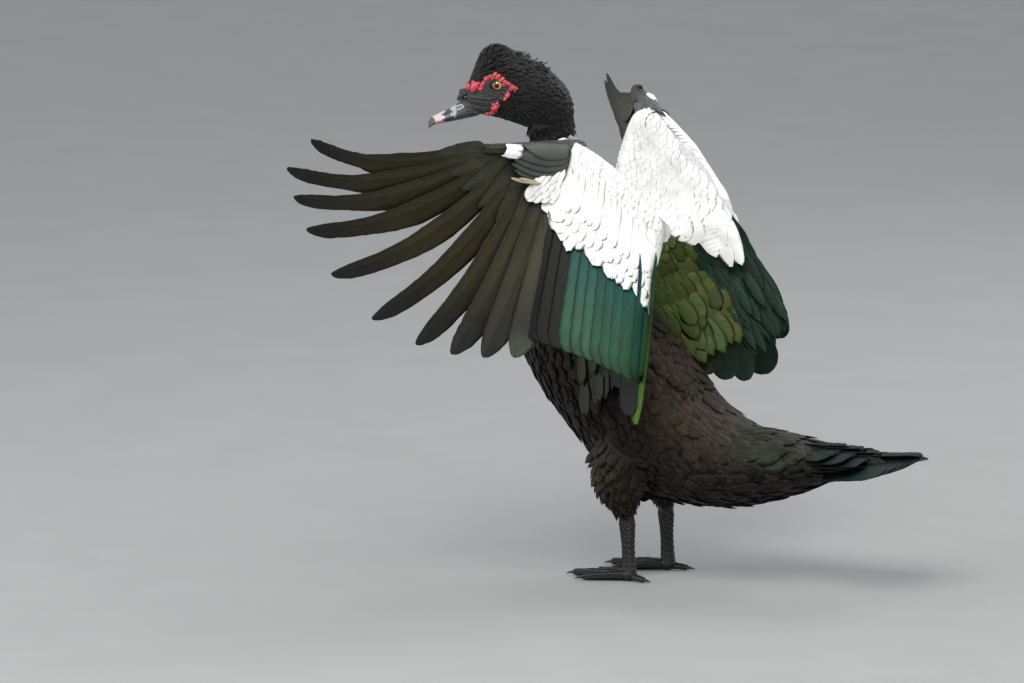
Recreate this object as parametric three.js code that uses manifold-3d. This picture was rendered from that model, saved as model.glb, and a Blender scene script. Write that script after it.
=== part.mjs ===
// A muscovy drake at life size, standing with both wings lifted and swept forward.
// Units are millimetres with Z up. The bird faces -X and its left side is -Y.
import * as THREE from 'three';
import { mergeVertices } from 'three/addons/utils/BufferGeometryUtils.js';
import Module from 'manifold-3d';

const wasm = await Module();
wasm.setup();

const v = (x, y, z) => new THREE.Vector3(x, y, z);
const unit = (x, y, z) => v(x, y, z).normalize();
const lerp = THREE.MathUtils.lerp;
const UP = v(0, 0, 1);

// Gap kept between touching pieces
const GAP = 0.3;
const SEED = 20;

// Torso and neck: spine points from rump to head with half width, height above and below
const SPINE = [
  { x: 262, z: 149, half: 20, above: 7, below: 7 },
  { x: 215, z: 143, half: 40, above: 21, below: 24 },
  { x: 170, z: 139, half: 57, above: 37, below: 39 },
  { x: 116, z: 135, half: 70, above: 50, below: 50 },
  { x: 66, z: 145, half: 77, above: 65, below: 63 },
  { x: 19, z: 166, half: 79, above: 80, below: 80 },
  { x: -19, z: 201, half: 79, above: 83, below: 78 },
  { x: -58, z: 242, half: 77, above: 82, below: 77 },
  { x: -89, z: 289, half: 71, above: 74, below: 75 },
  { x: -112, z: 345, half: 55, above: 57, below: 60 },
  { x: -120, z: 405, half: 38, above: 40, below: 42 },
  { x: -120, z: 465, half: 29, above: 31, below: 31 },
  { x: -119, z: 512, half: 24, above: 26, below: 26 },
];
const SPINE_STEPS = 30;
const BODY_SIDES = 20;
// Along the spine, 0 at the rump and 1 at the head, where the body is parted
const TAIL_PART = 0.085;
const NECK_PART = 0.735;
const HEAD_PART = 0.925;

// Head, in its own frame: x forward, y to the left, z up, from the top of the neck
const NECK_TOP = v(-119, 0, 473);
const HEAD_TURN = THREE.MathUtils.degToRad(27);
const SKULL = [
  { x: -21, z: 50, half: 9, above: 9, below: 12 },
  { x: -13, z: 52, half: 20, above: 23, below: 30 },
  { x: 5, z: 57, half: 27, above: 34, below: 40 },
  { x: 25, z: 62, half: 28, above: 40, below: 38 },
  { x: 45, z: 65, half: 26, above: 47, below: 34 },
  { x: 62, z: 66, half: 24, above: 52, below: 30 },
  { x: 76, z: 66, half: 20, above: 47, below: 27 },
  { x: 87, z: 64, half: 15, above: 31, below: 23 },
  { x: 95, z: 60, half: 10, above: 15, below: 17 },
];
const EYE = { x: 61.6, y: 17.5, z: 76, radius: 8 };
const LID = { radius: 7.4, thickness: 1.6, out: 22.6 };
const GAPE = { x: 73, z: 45.5, groove: 1, depth: 5 };
// Bill stations: top line, line of the mouth, bottom line and half width
const BILL = [
  { x: 82, top: 63, mouth: 44.5, bottom: 39.5, half: 11 },
  { x: 92, top: 62, mouth: 41.5, bottom: 37, half: 12 },
  { x: 101, top: 57, mouth: 39, bottom: 35, half: 11 },
  { x: 109, top: 51, mouth: 37, bottom: 33.4, half: 10.4 },
  { x: 117, top: 46.4, mouth: 35, bottom: 32, half: 11 },
  { x: 125, top: 42.4, mouth: 33, bottom: 30.4, half: 12 },
  { x: 131, top: 39.2, mouth: 31.6, bottom: 29.6, half: 11 },
];
const BILL_HOOK = [
  { x: 135.5, top: 36, mouth: 28.5, half: 8 },
  { x: 138.5, top: 32.5, mouth: 27, half: 3.5 },
];
const NOSTRIL = { x: 104, z: 49.5, long: 4.2, high: 2.1 };
const CROWN_LOCK = { rows: 5, abreast: 3, spacing: 9, length: 25, width: 11, thickness: 2.6, lift: 0.3 };

// Caruncles: red beads in an arc over, behind and below each eye, and lumps on the forehead
const BEAD_ARC = { radiusX: 16.5, radiusZ: 15, count: 10, from: -0.62, to: 3.75, size: 2.6 };
const KNOB = { x: 98, z: 66, size: 6.2 };
const FOREHEAD_LUMPS = { fromX: 80, toX: 95, fromZ: 80, toZ: 70, count: 3, size: 4.6 };

// Tail fan
const TAIL = {
  root: v(225, 0, 149), feathers: 12, spread: 0.42, rootSpan: 16, length: 114, outer: 0.84, width: 34,
  pitch: -0.06, arch: 12, stagger: 1.6,
};
const UPPER_TAIL_COVERTS = {
  count: 5, level: 9, arch: 6, back: -6, length: 62, width: 34, spread: 0.45, rootSpan: 24, tilt: -0.05,
};
const UNDER_TAIL_COVERTS = {
  count: 5, level: -17, arch: -5, back: -6, length: 66, width: 34, spread: 0.45, rootSpan: 24, tilt: 0.04,
};

// Legs, for the left side; the right leg mirrors them with its own step back
const HIP = v(8, -45, 152);
const KNEE = v(-12, -46, 116);
const THIGH_RADII = [44, 33, 12];
const ANKLE = v(-5, -41, 68);
const FOOT = v(-2, -41, 9);
const STEP_BACK = 8;
const TARSUS_RADIUS = 6.6;
const TOES = [
  { angle: -0.5, length: 58, radius: 4.6 },
  { angle: -0.02, length: 70, radius: 4.8 },
  { angle: 0.42, length: 52, radius: 4.6 },
];
const HIND_TOE = { angle: Math.PI - 0.25, length: 22, radius: 3.8 };
const WEB_THICKNESS = 2.2;
const CLAW_LENGTH = 9;

// Poses of the two wings. Directions run from root to tip.
const LEFT_WING = {
  side: -1,
  shoulder: v(-60, -50, 322),
  elbow: v(48, -84, 402),
  wrist: v(-47, -105, 490),
  hand: unit(-0.44, -0.89, 0.1),
  primaries: [unit(-0.07, -0.39, -0.92), unit(-0.38, -0.44, -0.81), unit(-0.54, -0.8, -0.26),
    unit(-0.43, -0.89, 0.12)],
  secondaries: [unit(-0.02, -0.42, -0.9), unit(0.11, -0.47, -0.88), unit(0.16, -0.44, -0.88)],
  tertials: [unit(0.15, -0.36, -0.92), unit(0.2, -0.3, -0.93)],
  scapulars: [unit(0.24, -0.3, -0.92), unit(0.3, -0.3, -0.9)],
};
const RIGHT_WING = {
  side: 1,
  shoulder: v(-60, 50, 322),
  elbow: v(41, 99, 405),
  wrist: v(-44, 106, 500),
  hand: unit(-0.557, 0.822, 0.112),
  primaries: [unit(-0.168, 0.55, -0.819), unit(-0.452, 0.779, -0.426), unit(-0.563, 0.814, -0.135),
    unit(-0.585, 0.81, -0.046)],
  secondaries: [unit(0.18, 0.485, -0.856), unit(0.22, 0.447, -0.867), unit(0.294, 0.356, -0.886)],
  tertials: [unit(0.148, 0.392, -0.905), unit(0.4, 0.05, -0.91)],
  scapulars: [unit(0.5, 0.05, -0.86), unit(0.62, -0.03, -0.78)],
};
const HAND_LENGTH = 135;
const ARM_RADII = [26, 22, 13];
const FOREARM_RADII = [13, 14, 10];
const FOREARM_BOW = 9;
const HAND_RADII = [10, 7.5, 3.5];
const PRIMARIES = {
  count: 10, inner: 232, outer: 262, last: 226, width: 40, finger: [32, 17], bow: [0.02, 0.1],
};
const SECONDARIES = { count: 10, outer: 214, inner: 180, width: 37 };
const TERTIALS = { count: 4, outer: 214, inner: 150, width: 40 };
const SCAPULARS = { rows: 2, count: 5, length: 118, width: 38, lift: 7 };
const GREATER_COVERTS = { length: 92, width: 27, back: 0, lift: 8.5 };
const PRIMARY_COVERTS = { count: 9, length: 86, width: 22, back: 0, lift: 6.5 };
const FOLD_COVERTS = { rows: 2, count: 4, length: 52, width: 36, step: 4 };
const ALULA = { count: 3, length: 64, width: 17, lift: 8.5, step: 2.2 };
const ROLL = 0.2;
const FLIGHT_THICKNESS = [1.2, 0.7];
const COVERT_THICKNESS = [1, 0.7];
const PATAGIUM_THICKNESS = 6;
const PATAGIUM_GROW = 0.03;
const PATAGIUM_BULGE = 20;

// Seeded random numbers, so that every build is the same
let randomState = SEED;
function random() {
  randomState = (randomState * 1664525 + 1013904223) % 4294967296;
  return randomState / 4294967296;
}
const vary = (size, share) => size * (1 + share * (2 * random() - 1));

// Closed meshes from points and triangles
function manifoldFrom(points, triangles) {
  let volume = 0;
  for (const [a, b, c] of triangles) {
    volume += points[a].dot(points[b].clone().cross(points[c]));
  }
  const facing = volume < 0 ? triangles.map(([a, b, c]) => [a, c, b]) : triangles;
  return new wasm.Manifold(new wasm.Mesh({
    numProp: 3,
    vertProperties: new Float32Array(points.flatMap((p) => [p.x, p.y, p.z])),
    triVerts: new Uint32Array(facing.flat()),
  }));
}

function manifoldFromGeometry(geometry, matrix) {
  const bare = new THREE.BufferGeometry();
  bare.setAttribute('position', geometry.getAttribute('position').clone());
  if (geometry.index) {
    bare.setIndex(geometry.index);
  }
  if (matrix) {
    bare.applyMatrix4(matrix);
  }
  const merged = mergeVertices(bare, 1e-4);
  return new wasm.Manifold(new wasm.Mesh({
    numProp: 3,
    vertProperties: new Float32Array(merged.attributes.position.array),
    triVerts: new Uint32Array(merged.index.array),
  }));
}

// A skin over rings of equal count, closed by a flat fan at each end
function loft(rings) {
  const count = rings[0].length;
  const points = rings.flat();
  const triangles = [];
  for (let ring = 0; ring + 1 < rings.length; ring += 1) {
    for (let i = 0; i < count; i += 1) {
      const a = ring * count + i;
      const b = ring * count + (i + 1) % count;
      triangles.push([a, a + count, b + count], [a, b + count, b]);
    }
  }
  const last = (rings.length - 1) * count;
  for (let i = 1; i + 1 < count; i += 1) {
    triangles.push([0, i, i + 1], [last, last + i + 1, last + i]);
  }
  return manifoldFrom(points, triangles);
}

function ellipseRing(centre, sideAxis, upAxis, half, above, below, sides) {
  const ring = [];
  for (let i = 0; i < sides; i += 1) {
    const angle = (i / sides) * Math.PI * 2;
    const height = Math.cos(angle) * (Math.cos(angle) > 0 ? above : below);
    ring.push(centre.clone()
      .addScaledVector(sideAxis, Math.sin(angle) * half)
      .addScaledVector(upAxis, height));
  }
  return ring;
}

// A round limb along a few points, each with its own radius
function limb(points, radii, sides, grow = 0) {
  const curve = new THREE.CatmullRomCurve3(points, false, 'centripetal');
  const steps = (points.length - 1) * 2;
  const frames = curve.computeFrenetFrames(steps);
  const rings = [];
  for (let i = 0; i <= steps; i += 1) {
    const t = i / steps;
    const at = t * (radii.length - 1);
    const low = Math.min(Math.floor(at), radii.length - 2);
    const radius = lerp(radii[low], radii[low + 1], at - low) + grow;
    rings.push(ellipseRing(curve.getPointAt(t), frames.normals[i], frames.binormals[i],
      radius, radius, radius, sides));
  }
  return loft(rings);
}

function bulb(centre, radius, detail = 1) {
  const matrix = new THREE.Matrix4().makeRotationY(0.4).setPosition(centre);
  const shape = detail > 0
    ? new THREE.OctahedronGeometry(radius, detail)
    : new THREE.IcosahedronGeometry(radius);
  return manifoldFromGeometry(shape, matrix);
}

// Vane outlines: share of the length, and of the leading and trailing half widths
const FLIGHT_OUTLINE = [[0, 0.25, 0.25], [0.2, 0.85, 0.85], [0.86, 0.95, 0.95], [1, 0.3, 0.35]];
const COVERT_OUTLINE = [[0, 0.6, 0.6], [0.7, 1, 1], [1, 0.35, 0.35]];
const LOCK_OUTLINE = [[0, 0.9, 0.9], [0.55, 1, 1], [1, 0.15, 0.15]];

// A flat feather along a surface: at(mm) gives its centre line, the side to its trailing edge, and its normal
function vane(feather, grow = 0) {
  const { at, length, lead, trail, roll = 0, outline = COVERT_OUTLINE, thick = COVERT_THICKNESS } = feather;
  const points = [];
  const triangles = [];
  outline.forEach(([t, leadShare, trailShare], k) => {
    const { centre, across, normal } = at(length * t);
    const along = across.clone().cross(normal).multiplyScalar(feather.hand);
    const out = t === 1 ? grow : 0;
    centre.addScaledVector(along, t === 0 ? -grow : out);
    const side = across.clone().multiplyScalar(Math.cos(roll)).addScaledVector(normal, -Math.sin(roll));
    const top = normal.clone().multiplyScalar(Math.cos(roll)).addScaledVector(across, Math.sin(roll));
    const halfThick = lerp(thick[0], thick[1], t) / 2 + grow;
    const toLead = -(lead * leadShare + grow);
    const toTrail = trail * trailShare + grow;
    for (const [a, b] of [[toLead, 1], [toTrail, 1], [toTrail, -1], [toLead, -1]]) {
      points.push(centre.clone().addScaledVector(side, a).addScaledVector(top, b * halfThick));
    }
    if (k > 0) {
      const p = (k - 1) * 4;
      const q = k * 4;
      triangles.push([p, q, q + 1], [p, q + 1, p + 1]);
      triangles.push([p + 1, q + 1, q + 2], [p + 1, q + 2, p + 2]);
      triangles.push([p + 2, q + 2, p + 3], [q + 2, q + 3, p + 3]);
      triangles.push([p + 3, q + 3, q], [p + 3, q, p]);
    }
  });
  const last = (outline.length - 1) * 4;
  triangles.push([0, 1, 2], [0, 2, 3], [last, last + 2, last + 1], [last, last + 3, last + 2]);
  return manifoldFrom(points, triangles);
}

// A straight path for a single feather, drooping away from its normal towards the tip
function straightPath(root, along, across, normal, length, droop = 0) {
  return (mm) => ({
    centre: root.clone().addScaledVector(along, mm).addScaledVector(normal, -droop * mm * mm / length),
    across: across.clone(),
    normal: normal.clone(),
  });
}

// Lays a row of feathers, listed from the body outwards, into one shingled surface
function shingle(row, side) {
  const point = (f, mm) => f.root.clone().addScaledVector(f.along, mm);
  row.forEach((f, i) => {
    const next = row[Math.min(i + 1, row.length - 1)];
    const before = row[Math.max(i - 1, 0)];
    f.hand = -side;
    f.roll = ROLL;
    f.at = (mm) => {
      const outward = point(next, mm).sub(point(before, mm));
      outward.addScaledVector(f.along, -outward.dot(f.along)).normalize();
      const normal = outward.clone().cross(f.along).multiplyScalar(-side);
      const across = outward.negate();
      const share = mm / f.length;
      const bow = (f.bow ?? 0) * 4;
      const centre = point(f, mm).addScaledVector(across, bow * f.length * share * (1 - share));
      across.addScaledVector(f.along, -bow * (1 - 2 * share)).normalize();
      return { centre, across, normal };
    };
  });
}

function join(pieces) {
  return wasm.Manifold.union(pieces);
}

// The largest closed surface of a solid
function largest(solid) {
  const parts = solid.decompose();
  parts.sort((a, b) => b.volume() - a.volume());
  return parts[0];
}

// A direction at t along a smooth fan through evenly spaced key directions
function fan(keys, t) {
  return new THREE.CatmullRomCurve3(keys, false, 'catmullrom').getPoint(t).normalize();
}

// Torso and neck
const spineCurve = new THREE.CatmullRomCurve3(SPINE.map((s) => v(s.x, 0, s.z)), false, 'catmullrom');
const girthCurve = new THREE.CatmullRomCurve3(SPINE.map((s) => v(s.half, s.above, s.below)),
  false, 'catmullrom');
const SIDE_AXIS = v(0, 1, 0);

function spineFrame(t) {
  const forward = spineCurve.getTangent(t).normalize();
  return { centre: spineCurve.getPoint(t), forward, dorsal: SIDE_AXIS.clone().cross(forward).normalize() };
}

function trunk(grow = 0) {
  const rings = [];
  for (let i = 0; i <= SPINE_STEPS; i += 1) {
    const t = i / SPINE_STEPS;
    const { centre, dorsal } = spineFrame(t);
    const girth = girthCurve.getPoint(t);
    rings.push(ellipseRing(centre, SIDE_AXIS, dorsal,
      girth.x + grow, girth.y + grow, girth.z + grow, BODY_SIDES));
  }
  return loft(rings);
}

// Splits a solid at a place on the spine; returns the part ahead and the part behind
function partAt(solid, t) {
  const { centre, forward } = spineFrame(t);
  const level = centre.dot(forward);
  const ahead = solid.trimByPlane(forward.toArray(), level + GAP / 2);
  const behind = solid.trimByPlane(forward.clone().negate().toArray(), -level + GAP / 2);
  return [ahead, behind];
}

// Head
const headMatrix = new THREE.Matrix4().makeRotationZ(Math.PI + HEAD_TURN).setPosition(NECK_TOP);
const inHead = (x, y, z) => v(x, y, z).applyMatrix4(headMatrix);

function skullShape(grow = 0) {
  const centres = new THREE.CatmullRomCurve3(SKULL.map((s) => v(s.x, 0, s.z)), false, 'catmullrom');
  const girths = new THREE.CatmullRomCurve3(SKULL.map((s) => v(s.half, s.above, s.below)),
    false, 'catmullrom');
  const side = inHead(0, 1, 0).sub(inHead(0, 0, 0));
  const rings = [];
  const steps = 14;
  for (let i = 0; i <= steps; i += 1) {
    const centre = centres.getPoint(i / steps);
    const girth = girths.getPoint(i / steps);
    const reach = centre.x + (i === steps ? grow : 0);
    rings.push(ellipseRing(inHead(reach, 0, centre.z), side, UP,
      girth.x + grow, girth.y + grow, girth.z + grow, 16));
  }
  return loft(rings);
}

// Half width and height of the skull's side at a place in the head's frame
function skullSide(x, z) {
  const index = SKULL.findIndex((s) => s.x > x);
  const high = SKULL[Math.max(1, index)];
  const low = SKULL[Math.max(1, index) - 1];
  const share = (x - low.x) / (high.x - low.x);
  const middle = lerp(low.z, high.z, share);
  const reach = z > middle ? lerp(low.above, high.above, share) : lerp(low.below, high.below, share);
  const inside = Math.max(0, 1 - ((z - middle) / reach) ** 2);
  return lerp(low.half, high.half, share) * Math.sqrt(inside);
}

function skullTop(x) {
  const index = SKULL.findIndex((s) => s.x > x);
  const high = SKULL[Math.max(1, index)];
  const low = SKULL[Math.max(1, index) - 1];
  const share = (x - low.x) / (high.x - low.x);
  return lerp(low.z + low.above, high.z + high.above, share);
}

function crest() {
  const locks = [];
  for (let row = 0; row < CROWN_LOCK.rows; row += 1) {
    const x = lerp(84, -10, row / (CROWN_LOCK.rows - 1));
    for (let i = 0; i < CROWN_LOCK.abreast; i += 1) {
      const k = i - (CROWN_LOCK.abreast - 1) / 2 + (row % 2 === 0 ? 0.2 : -0.2);
      const y = k * CROWN_LOCK.spacing;
      const drop = k * k * 3;
      const top = skullTop(x) - drop;
      const slope = (skullTop(x - 8) - skullTop(x)) / 8;
      const along = inHead(-1, k * 0.12, slope + CROWN_LOCK.lift).sub(inHead(0, 0, 0)).normalize();
      const across = inHead(0, 1, 0).sub(inHead(0, 0, 0));
      across.addScaledVector(along, -across.dot(along)).normalize();
      const normal = across.clone().cross(along);
      const length = vary(CROWN_LOCK.length, 0.15);
      locks.push(vane({
        at: straightPath(inHead(x, y, top - 4), along, across, normal, length, 0.2),
        hand: -1,
        length,
        lead: CROWN_LOCK.width / 2,
        trail: CROWN_LOCK.width / 2,
        thick: [CROWN_LOCK.thickness, 1],
        outline: LOCK_OUTLINE,
      }));
    }
  }
  return locks;
}

function caruncles() {
  const beads = [];
  for (const side of [-1, 1]) {
    for (let i = 0; i < BEAD_ARC.count; i += 1) {
      const angle = lerp(BEAD_ARC.from, BEAD_ARC.to, i / (BEAD_ARC.count - 1));
      const x = EYE.x - 2 + BEAD_ARC.radiusX * -Math.cos(angle + 0.5);
      const z = EYE.z - 2 + BEAD_ARC.radiusZ * Math.sin(angle + 0.5);
      const size = vary(BEAD_ARC.size, 0.2);
      beads.push(bulb(inHead(x, side * skullSide(x, z), z), size, 0));
    }
    beads.push(bulb(inHead(88, side * 7, 74), vary(FOREHEAD_LUMPS.size, 0.1), 0));
  }
  for (let i = 0; i < FOREHEAD_LUMPS.count; i += 1) {
    const t = i / (FOREHEAD_LUMPS.count - 1);
    const x = lerp(FOREHEAD_LUMPS.fromX, FOREHEAD_LUMPS.toX, t);
    const z = lerp(FOREHEAD_LUMPS.fromZ, FOREHEAD_LUMPS.toZ, t);
    for (const side of [-1, 1]) {
      beads.push(bulb(inHead(x, side * 4, z), vary(FOREHEAD_LUMPS.size, 0.15), 0));
    }
  }
  beads.push(bulb(inHead(KNOB.x, 0, KNOB.z), KNOB.size));
  return beads;
}

function lids() {
  const rings = [];
  for (const side of [-1, 1]) {
    const ring = new THREE.TorusGeometry(LID.radius, LID.thickness, 5, 12);
    const place = new THREE.Matrix4().makeRotationX(Math.PI / 2);
    place.setPosition(EYE.x, side * LID.out, EYE.z);
    place.premultiply(headMatrix);
    rings.push(manifoldFromGeometry(ring, place));
  }
  return rings;
}

function eyeball(side, grow = 0) {
  const place = new THREE.Matrix4().setPosition(inHead(EYE.x, side * EYE.y, EYE.z));
  return manifoldFromGeometry(new THREE.IcosahedronGeometry(EYE.radius + grow, 1), place);
}

function gapeGrooves() {
  return [-1, 1].map((side) => {
    const box = new THREE.BoxGeometry(GAPE.depth * 3, GAPE.depth, GAPE.groove);
    const place = new THREE.Matrix4().makeRotationY(0.2);
    place.setPosition(GAPE.x + GAPE.depth, side * skullSide(GAPE.x, GAPE.z), GAPE.z - 1);
    place.premultiply(headMatrix);
    return manifoldFromGeometry(box, place);
  });
}

// Bill
function billRing(x, top, bottom, half, roundTop, grow = 0) {
  const ring = [];
  const sides = 12;
  for (let i = 0; i <= sides; i += 1) {
    const angle = (i / sides) * Math.PI;
    const y = Math.cos(angle) * (half + grow);
    const rise = Math.sin(angle) ** 0.8;
    const z = roundTop ? bottom + (top - bottom) * rise : top - (top - bottom) * rise;
    ring.push(inHead(x, y, z));
  }
  return ring;
}

function upperBill() {
  const rings = BILL.map((s) => billRing(s.x, s.top, s.mouth + GAP / 2, s.half, true));
  BILL_HOOK.forEach((s) => rings.push(billRing(s.x, s.top, s.mouth, s.half, true)));
  const holes = [-1, 1].map((side) => {
    const hole = new THREE.CylinderGeometry(1, 1, 18, 8);
    const place = new THREE.Matrix4().makeScale(NOSTRIL.long, 1, NOSTRIL.high);
    place.setPosition(NOSTRIL.x, side * 8, NOSTRIL.z);
    place.premultiply(headMatrix);
    return manifoldFromGeometry(hole, place);
  });
  return loft(rings).subtract(join(holes));
}

function lowerBill() {
  const rings = BILL.map((s) => billRing(s.x, s.mouth - GAP / 2, s.bottom, s.half - 0.8, false));
  return loft(rings);
}

// Wings
function flightFeathers(pose) {
  const feathers = [];
  const { shoulder, elbow, wrist } = pose;
  const handEnd = wrist.clone().addScaledVector(pose.hand, HAND_LENGTH);
  for (let i = TERTIALS.count - 1; i >= 0; i -= 1) {
    const t = i / (TERTIALS.count - 1);
    feathers.push({
      group: 'tertial',
      thick: FLIGHT_THICKNESS,
      outline: FLIGHT_OUTLINE,
      root: elbow.clone().lerp(shoulder, 0.06 + 0.5 * t),
      along: fan(pose.tertials, t),
      length: lerp(TERTIALS.outer, TERTIALS.inner, t),
      lead: TERTIALS.width * 0.45,
      trail: TERTIALS.width * 0.55,
    });
  }
  for (let i = SECONDARIES.count - 1; i >= 0; i -= 1) {
    const t = i / (SECONDARIES.count - 1);
    feathers.push({
      group: 'secondary',
      thick: FLIGHT_THICKNESS,
      outline: FLIGHT_OUTLINE,
      root: wrist.clone().lerp(elbow, 0.05 + 0.9 * t),
      along: fan(pose.secondaries, t),
      length: lerp(SECONDARIES.outer, SECONDARIES.inner, t),
      lead: SECONDARIES.width * 0.4,
      trail: SECONDARIES.width * 0.6,
    });
  }
  const trailing = pose.primaries[0].clone();
  trailing.addScaledVector(pose.hand, -trailing.dot(pose.hand)).normalize();
  for (let i = 0; i < PRIMARIES.count; i += 1) {
    const t = i / (PRIMARIES.count - 1);
    const rise = Math.sin(Math.min(t / 0.85, 1) * Math.PI / 2);
    const isLast = i === PRIMARIES.count - 1;
    const finger = lerp(PRIMARIES.finger[0], PRIMARIES.finger[1], t ** 0.8);
    const narrow = finger / PRIMARIES.width;
    const bend = Math.sin(Math.min(t / 0.6, 1) * Math.PI / 2) ** 2;
    feathers.push({
      group: 'primary',
      thick: FLIGHT_THICKNESS,
      root: wrist.clone().lerp(handEnd, 0.04 + 0.9 * t ** 1.1).addScaledVector(trailing, lerp(7, -2, t ** 2)),
      along: fan(pose.primaries, t),
      length: isLast ? PRIMARIES.last : lerp(PRIMARIES.inner, PRIMARIES.outer, rise),
      lead: PRIMARIES.width * lerp(0.42, 0.28, t),
      trail: PRIMARIES.width * lerp(0.58, 0.62, t),
      bow: lerp(PRIMARIES.bow[0], PRIMARIES.bow[1], bend),
      outline: [[0, 0.25, 0.25], [0.16, 0.8, 0.8], [0.45, 1, 1], [0.68, narrow * 1.08, narrow * 1.08],
        [0.88, narrow * 0.85, narrow * 0.85], [1, narrow * 0.2, narrow * 0.2]],
    });
  }
  shingle(feathers, pose.side);
  return feathers;
}

// A covert that lies over a flight feather, lifted off it along the same surface
function covertOver(f, tier, lengthShare = 1) {
  return {
    at: (mm) => {
      const place = f.at(mm + tier.back);
      place.centre.addScaledVector(place.normal, tier.lift);
      return place;
    },
    hand: f.hand,
    length: vary(tier.length * lengthShare, 0.05),
    lead: tier.width * 0.45,
    trail: tier.width * 0.55,
    roll: ROLL,
  };
}

function wing(pose, body) {
  const { shoulder, elbow, wrist } = pose;
  const handEnd = wrist.clone().addScaledVector(pose.hand, HAND_LENGTH);
  const flight = flightFeathers(pose);
  const tertials = flight.filter((f) => f.group === 'tertial');
  const secondaries = flight.filter((f) => f.group === 'secondary');
  const primaries = flight.filter((f) => f.group === 'primary');

  const scapulars = [];
  for (let row = 0; row < SCAPULARS.rows; row += 1) {
    const line = [];
    for (let i = 0; i < SCAPULARS.count; i += 1) {
      const t = i / (SCAPULARS.count - 1);
      const along = fan(pose.scapulars, 1 - t);
      line.push({
        root: elbow.clone().lerp(shoulder, lerp(0.92, 0.12, t)),
        along,
        length: vary(SCAPULARS.length * lerp(1, 0.6, row), 0.06),
        lead: SCAPULARS.width / 2,
        trail: SCAPULARS.width / 2,
      });
    }
    shingle(line, pose.side);
    const lift = SCAPULARS.lift * (row + 1);
    line.forEach((f) => scapulars.push({ ...covertOver(f, { lift, back: 0, length: f.length, width: 0 }),
      lead: f.lead, trail: f.trail }));
  }
  const armVanes = [...tertials, ...scapulars];

  const forearmVanes = [...secondaries];
  secondaries.forEach((f) => forearmVanes.push(covertOver(f, GREATER_COVERTS)));

  const handVanes = [...primaries];
  primaries.slice(0, PRIMARY_COVERTS.count).forEach((f, i) => {
    handVanes.push(covertOver(f, PRIMARY_COVERTS, lerp(0.9, 1, i / 8)));
  });
  const guide = primaries[8].at(0);
  for (let i = 0; i < ALULA.count; i += 1) {
    const along = pose.hand.clone().addScaledVector(guide.across, 0.14 * (ALULA.count - i)).normalize();
    const across = guide.across.clone().addScaledVector(along, -guide.across.dot(along)).normalize();
    const normal = across.clone().cross(along).multiplyScalar(pose.side);
    const root = wrist.clone().lerp(handEnd, 0.06).addScaledVector(normal, ALULA.lift + ALULA.step * i);
    handVanes.push({
      at: straightPath(root, along, across, normal, ALULA.length),
      hand: -pose.side,
      length: ALULA.length * lerp(0.7, 1, i / (ALULA.count - 1)),
      lead: ALULA.width / 2,
      trail: ALULA.width / 2,
    });
  }

  const fold = elbow.clone().sub(shoulder).cross(wrist.clone().sub(elbow)).normalize();
  const nearShoulder = shoulder.clone().lerp(elbow, 0.12);
  const forward = wrist.clone().lerp(shoulder, 0.5).sub(elbow).normalize();
  const bulge = wrist.clone().lerp(nearShoulder, 0.5).addScaledVector(forward, PATAGIUM_BULGE);
  const corners = [elbow, wrist, bulge, nearShoulder];
  const centre = corners.reduce((sum, p) => sum.add(p), v(0, 0, 0)).divideScalar(corners.length);
  const patagium = (grow) => {
    const edge = corners.map((p) => centre.clone().lerp(p, 1 + grow * PATAGIUM_GROW));
    const half = PATAGIUM_THICKNESS / 2 + grow;
    return loft([edge.map((p) => p.clone().addScaledVector(fold, half)),
      edge.map((p) => p.clone().addScaledVector(fold, -half))]);
  };
  const inward = fold.clone().multiplyScalar(fold.y * pose.side > 0 ? -1 : 1);
  for (let row = 0; row < FOLD_COVERTS.rows; row += 1) {
    const from = nearShoulder.clone().lerp(elbow, 0.12 + 0.26 * row);
    const to = wrist.clone().lerp(elbow, 0.06 + 0.2 * row);
    const line = to.clone().sub(from);
    const downForearm = elbow.clone().sub(wrist).normalize();
    const along = downForearm.addScaledVector(line, -0.25 / line.length()).normalize();
    const across = line.clone().addScaledVector(along, -line.dot(along)).normalize().negate();
    for (let i = 0; i < FOLD_COVERTS.count; i += 1) {
      const root = from.clone().lerp(to, (i + 0.5) / FOLD_COVERTS.count)
        .addScaledVector(inward, 2.4 + FOLD_COVERTS.step * (FOLD_COVERTS.rows - 1 - row));
      forearmVanes.push({
        at: straightPath(root, along, across, inward, FOLD_COVERTS.length, -0.03),
        hand: -pose.side,
        length: vary(FOLD_COVERTS.length, 0.05),
        lead: FOLD_COVERTS.width / 2,
        trail: FOLD_COVERTS.width / 2,
        roll: ROLL * 0.7,
      });
    }
  }

  const bow = elbow.clone().lerp(wrist, 0.5).addScaledVector(secondaries[5].along, -FOREARM_BOW);
  const armBody = (grow) => limb([shoulder.clone().lerp(elbow, -0.2), shoulder, elbow],
    ARM_RADII, 8, grow);
  const forearmBody = (grow) => limb([elbow, bow, wrist], FOREARM_RADII, 8, grow);
  const handBody = (grow) => limb([wrist, wrist.clone().lerp(handEnd, 0.5), handEnd], HAND_RADII, 8, grow);
  const arm = join([armBody(0), ...armVanes.map((f) => vane(f))]).subtract(body);
  const armClear = join([armBody(GAP), ...armVanes.map((f) => vane(f, GAP))]);
  const forearm = join([forearmBody(0), patagium(0), ...forearmVanes.map((f) => vane(f))])
    .subtract(armClear).subtract(body);
  const forearmClear = join([forearmBody(GAP), patagium(GAP), ...forearmVanes.map((f) => vane(f, GAP))]);
  const hand = join([handBody(0), ...handVanes.map((f) => vane(f))]).subtract(forearmClear);
  return { arm: largest(arm), forearm: largest(forearm), hand: largest(hand) };
}

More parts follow.
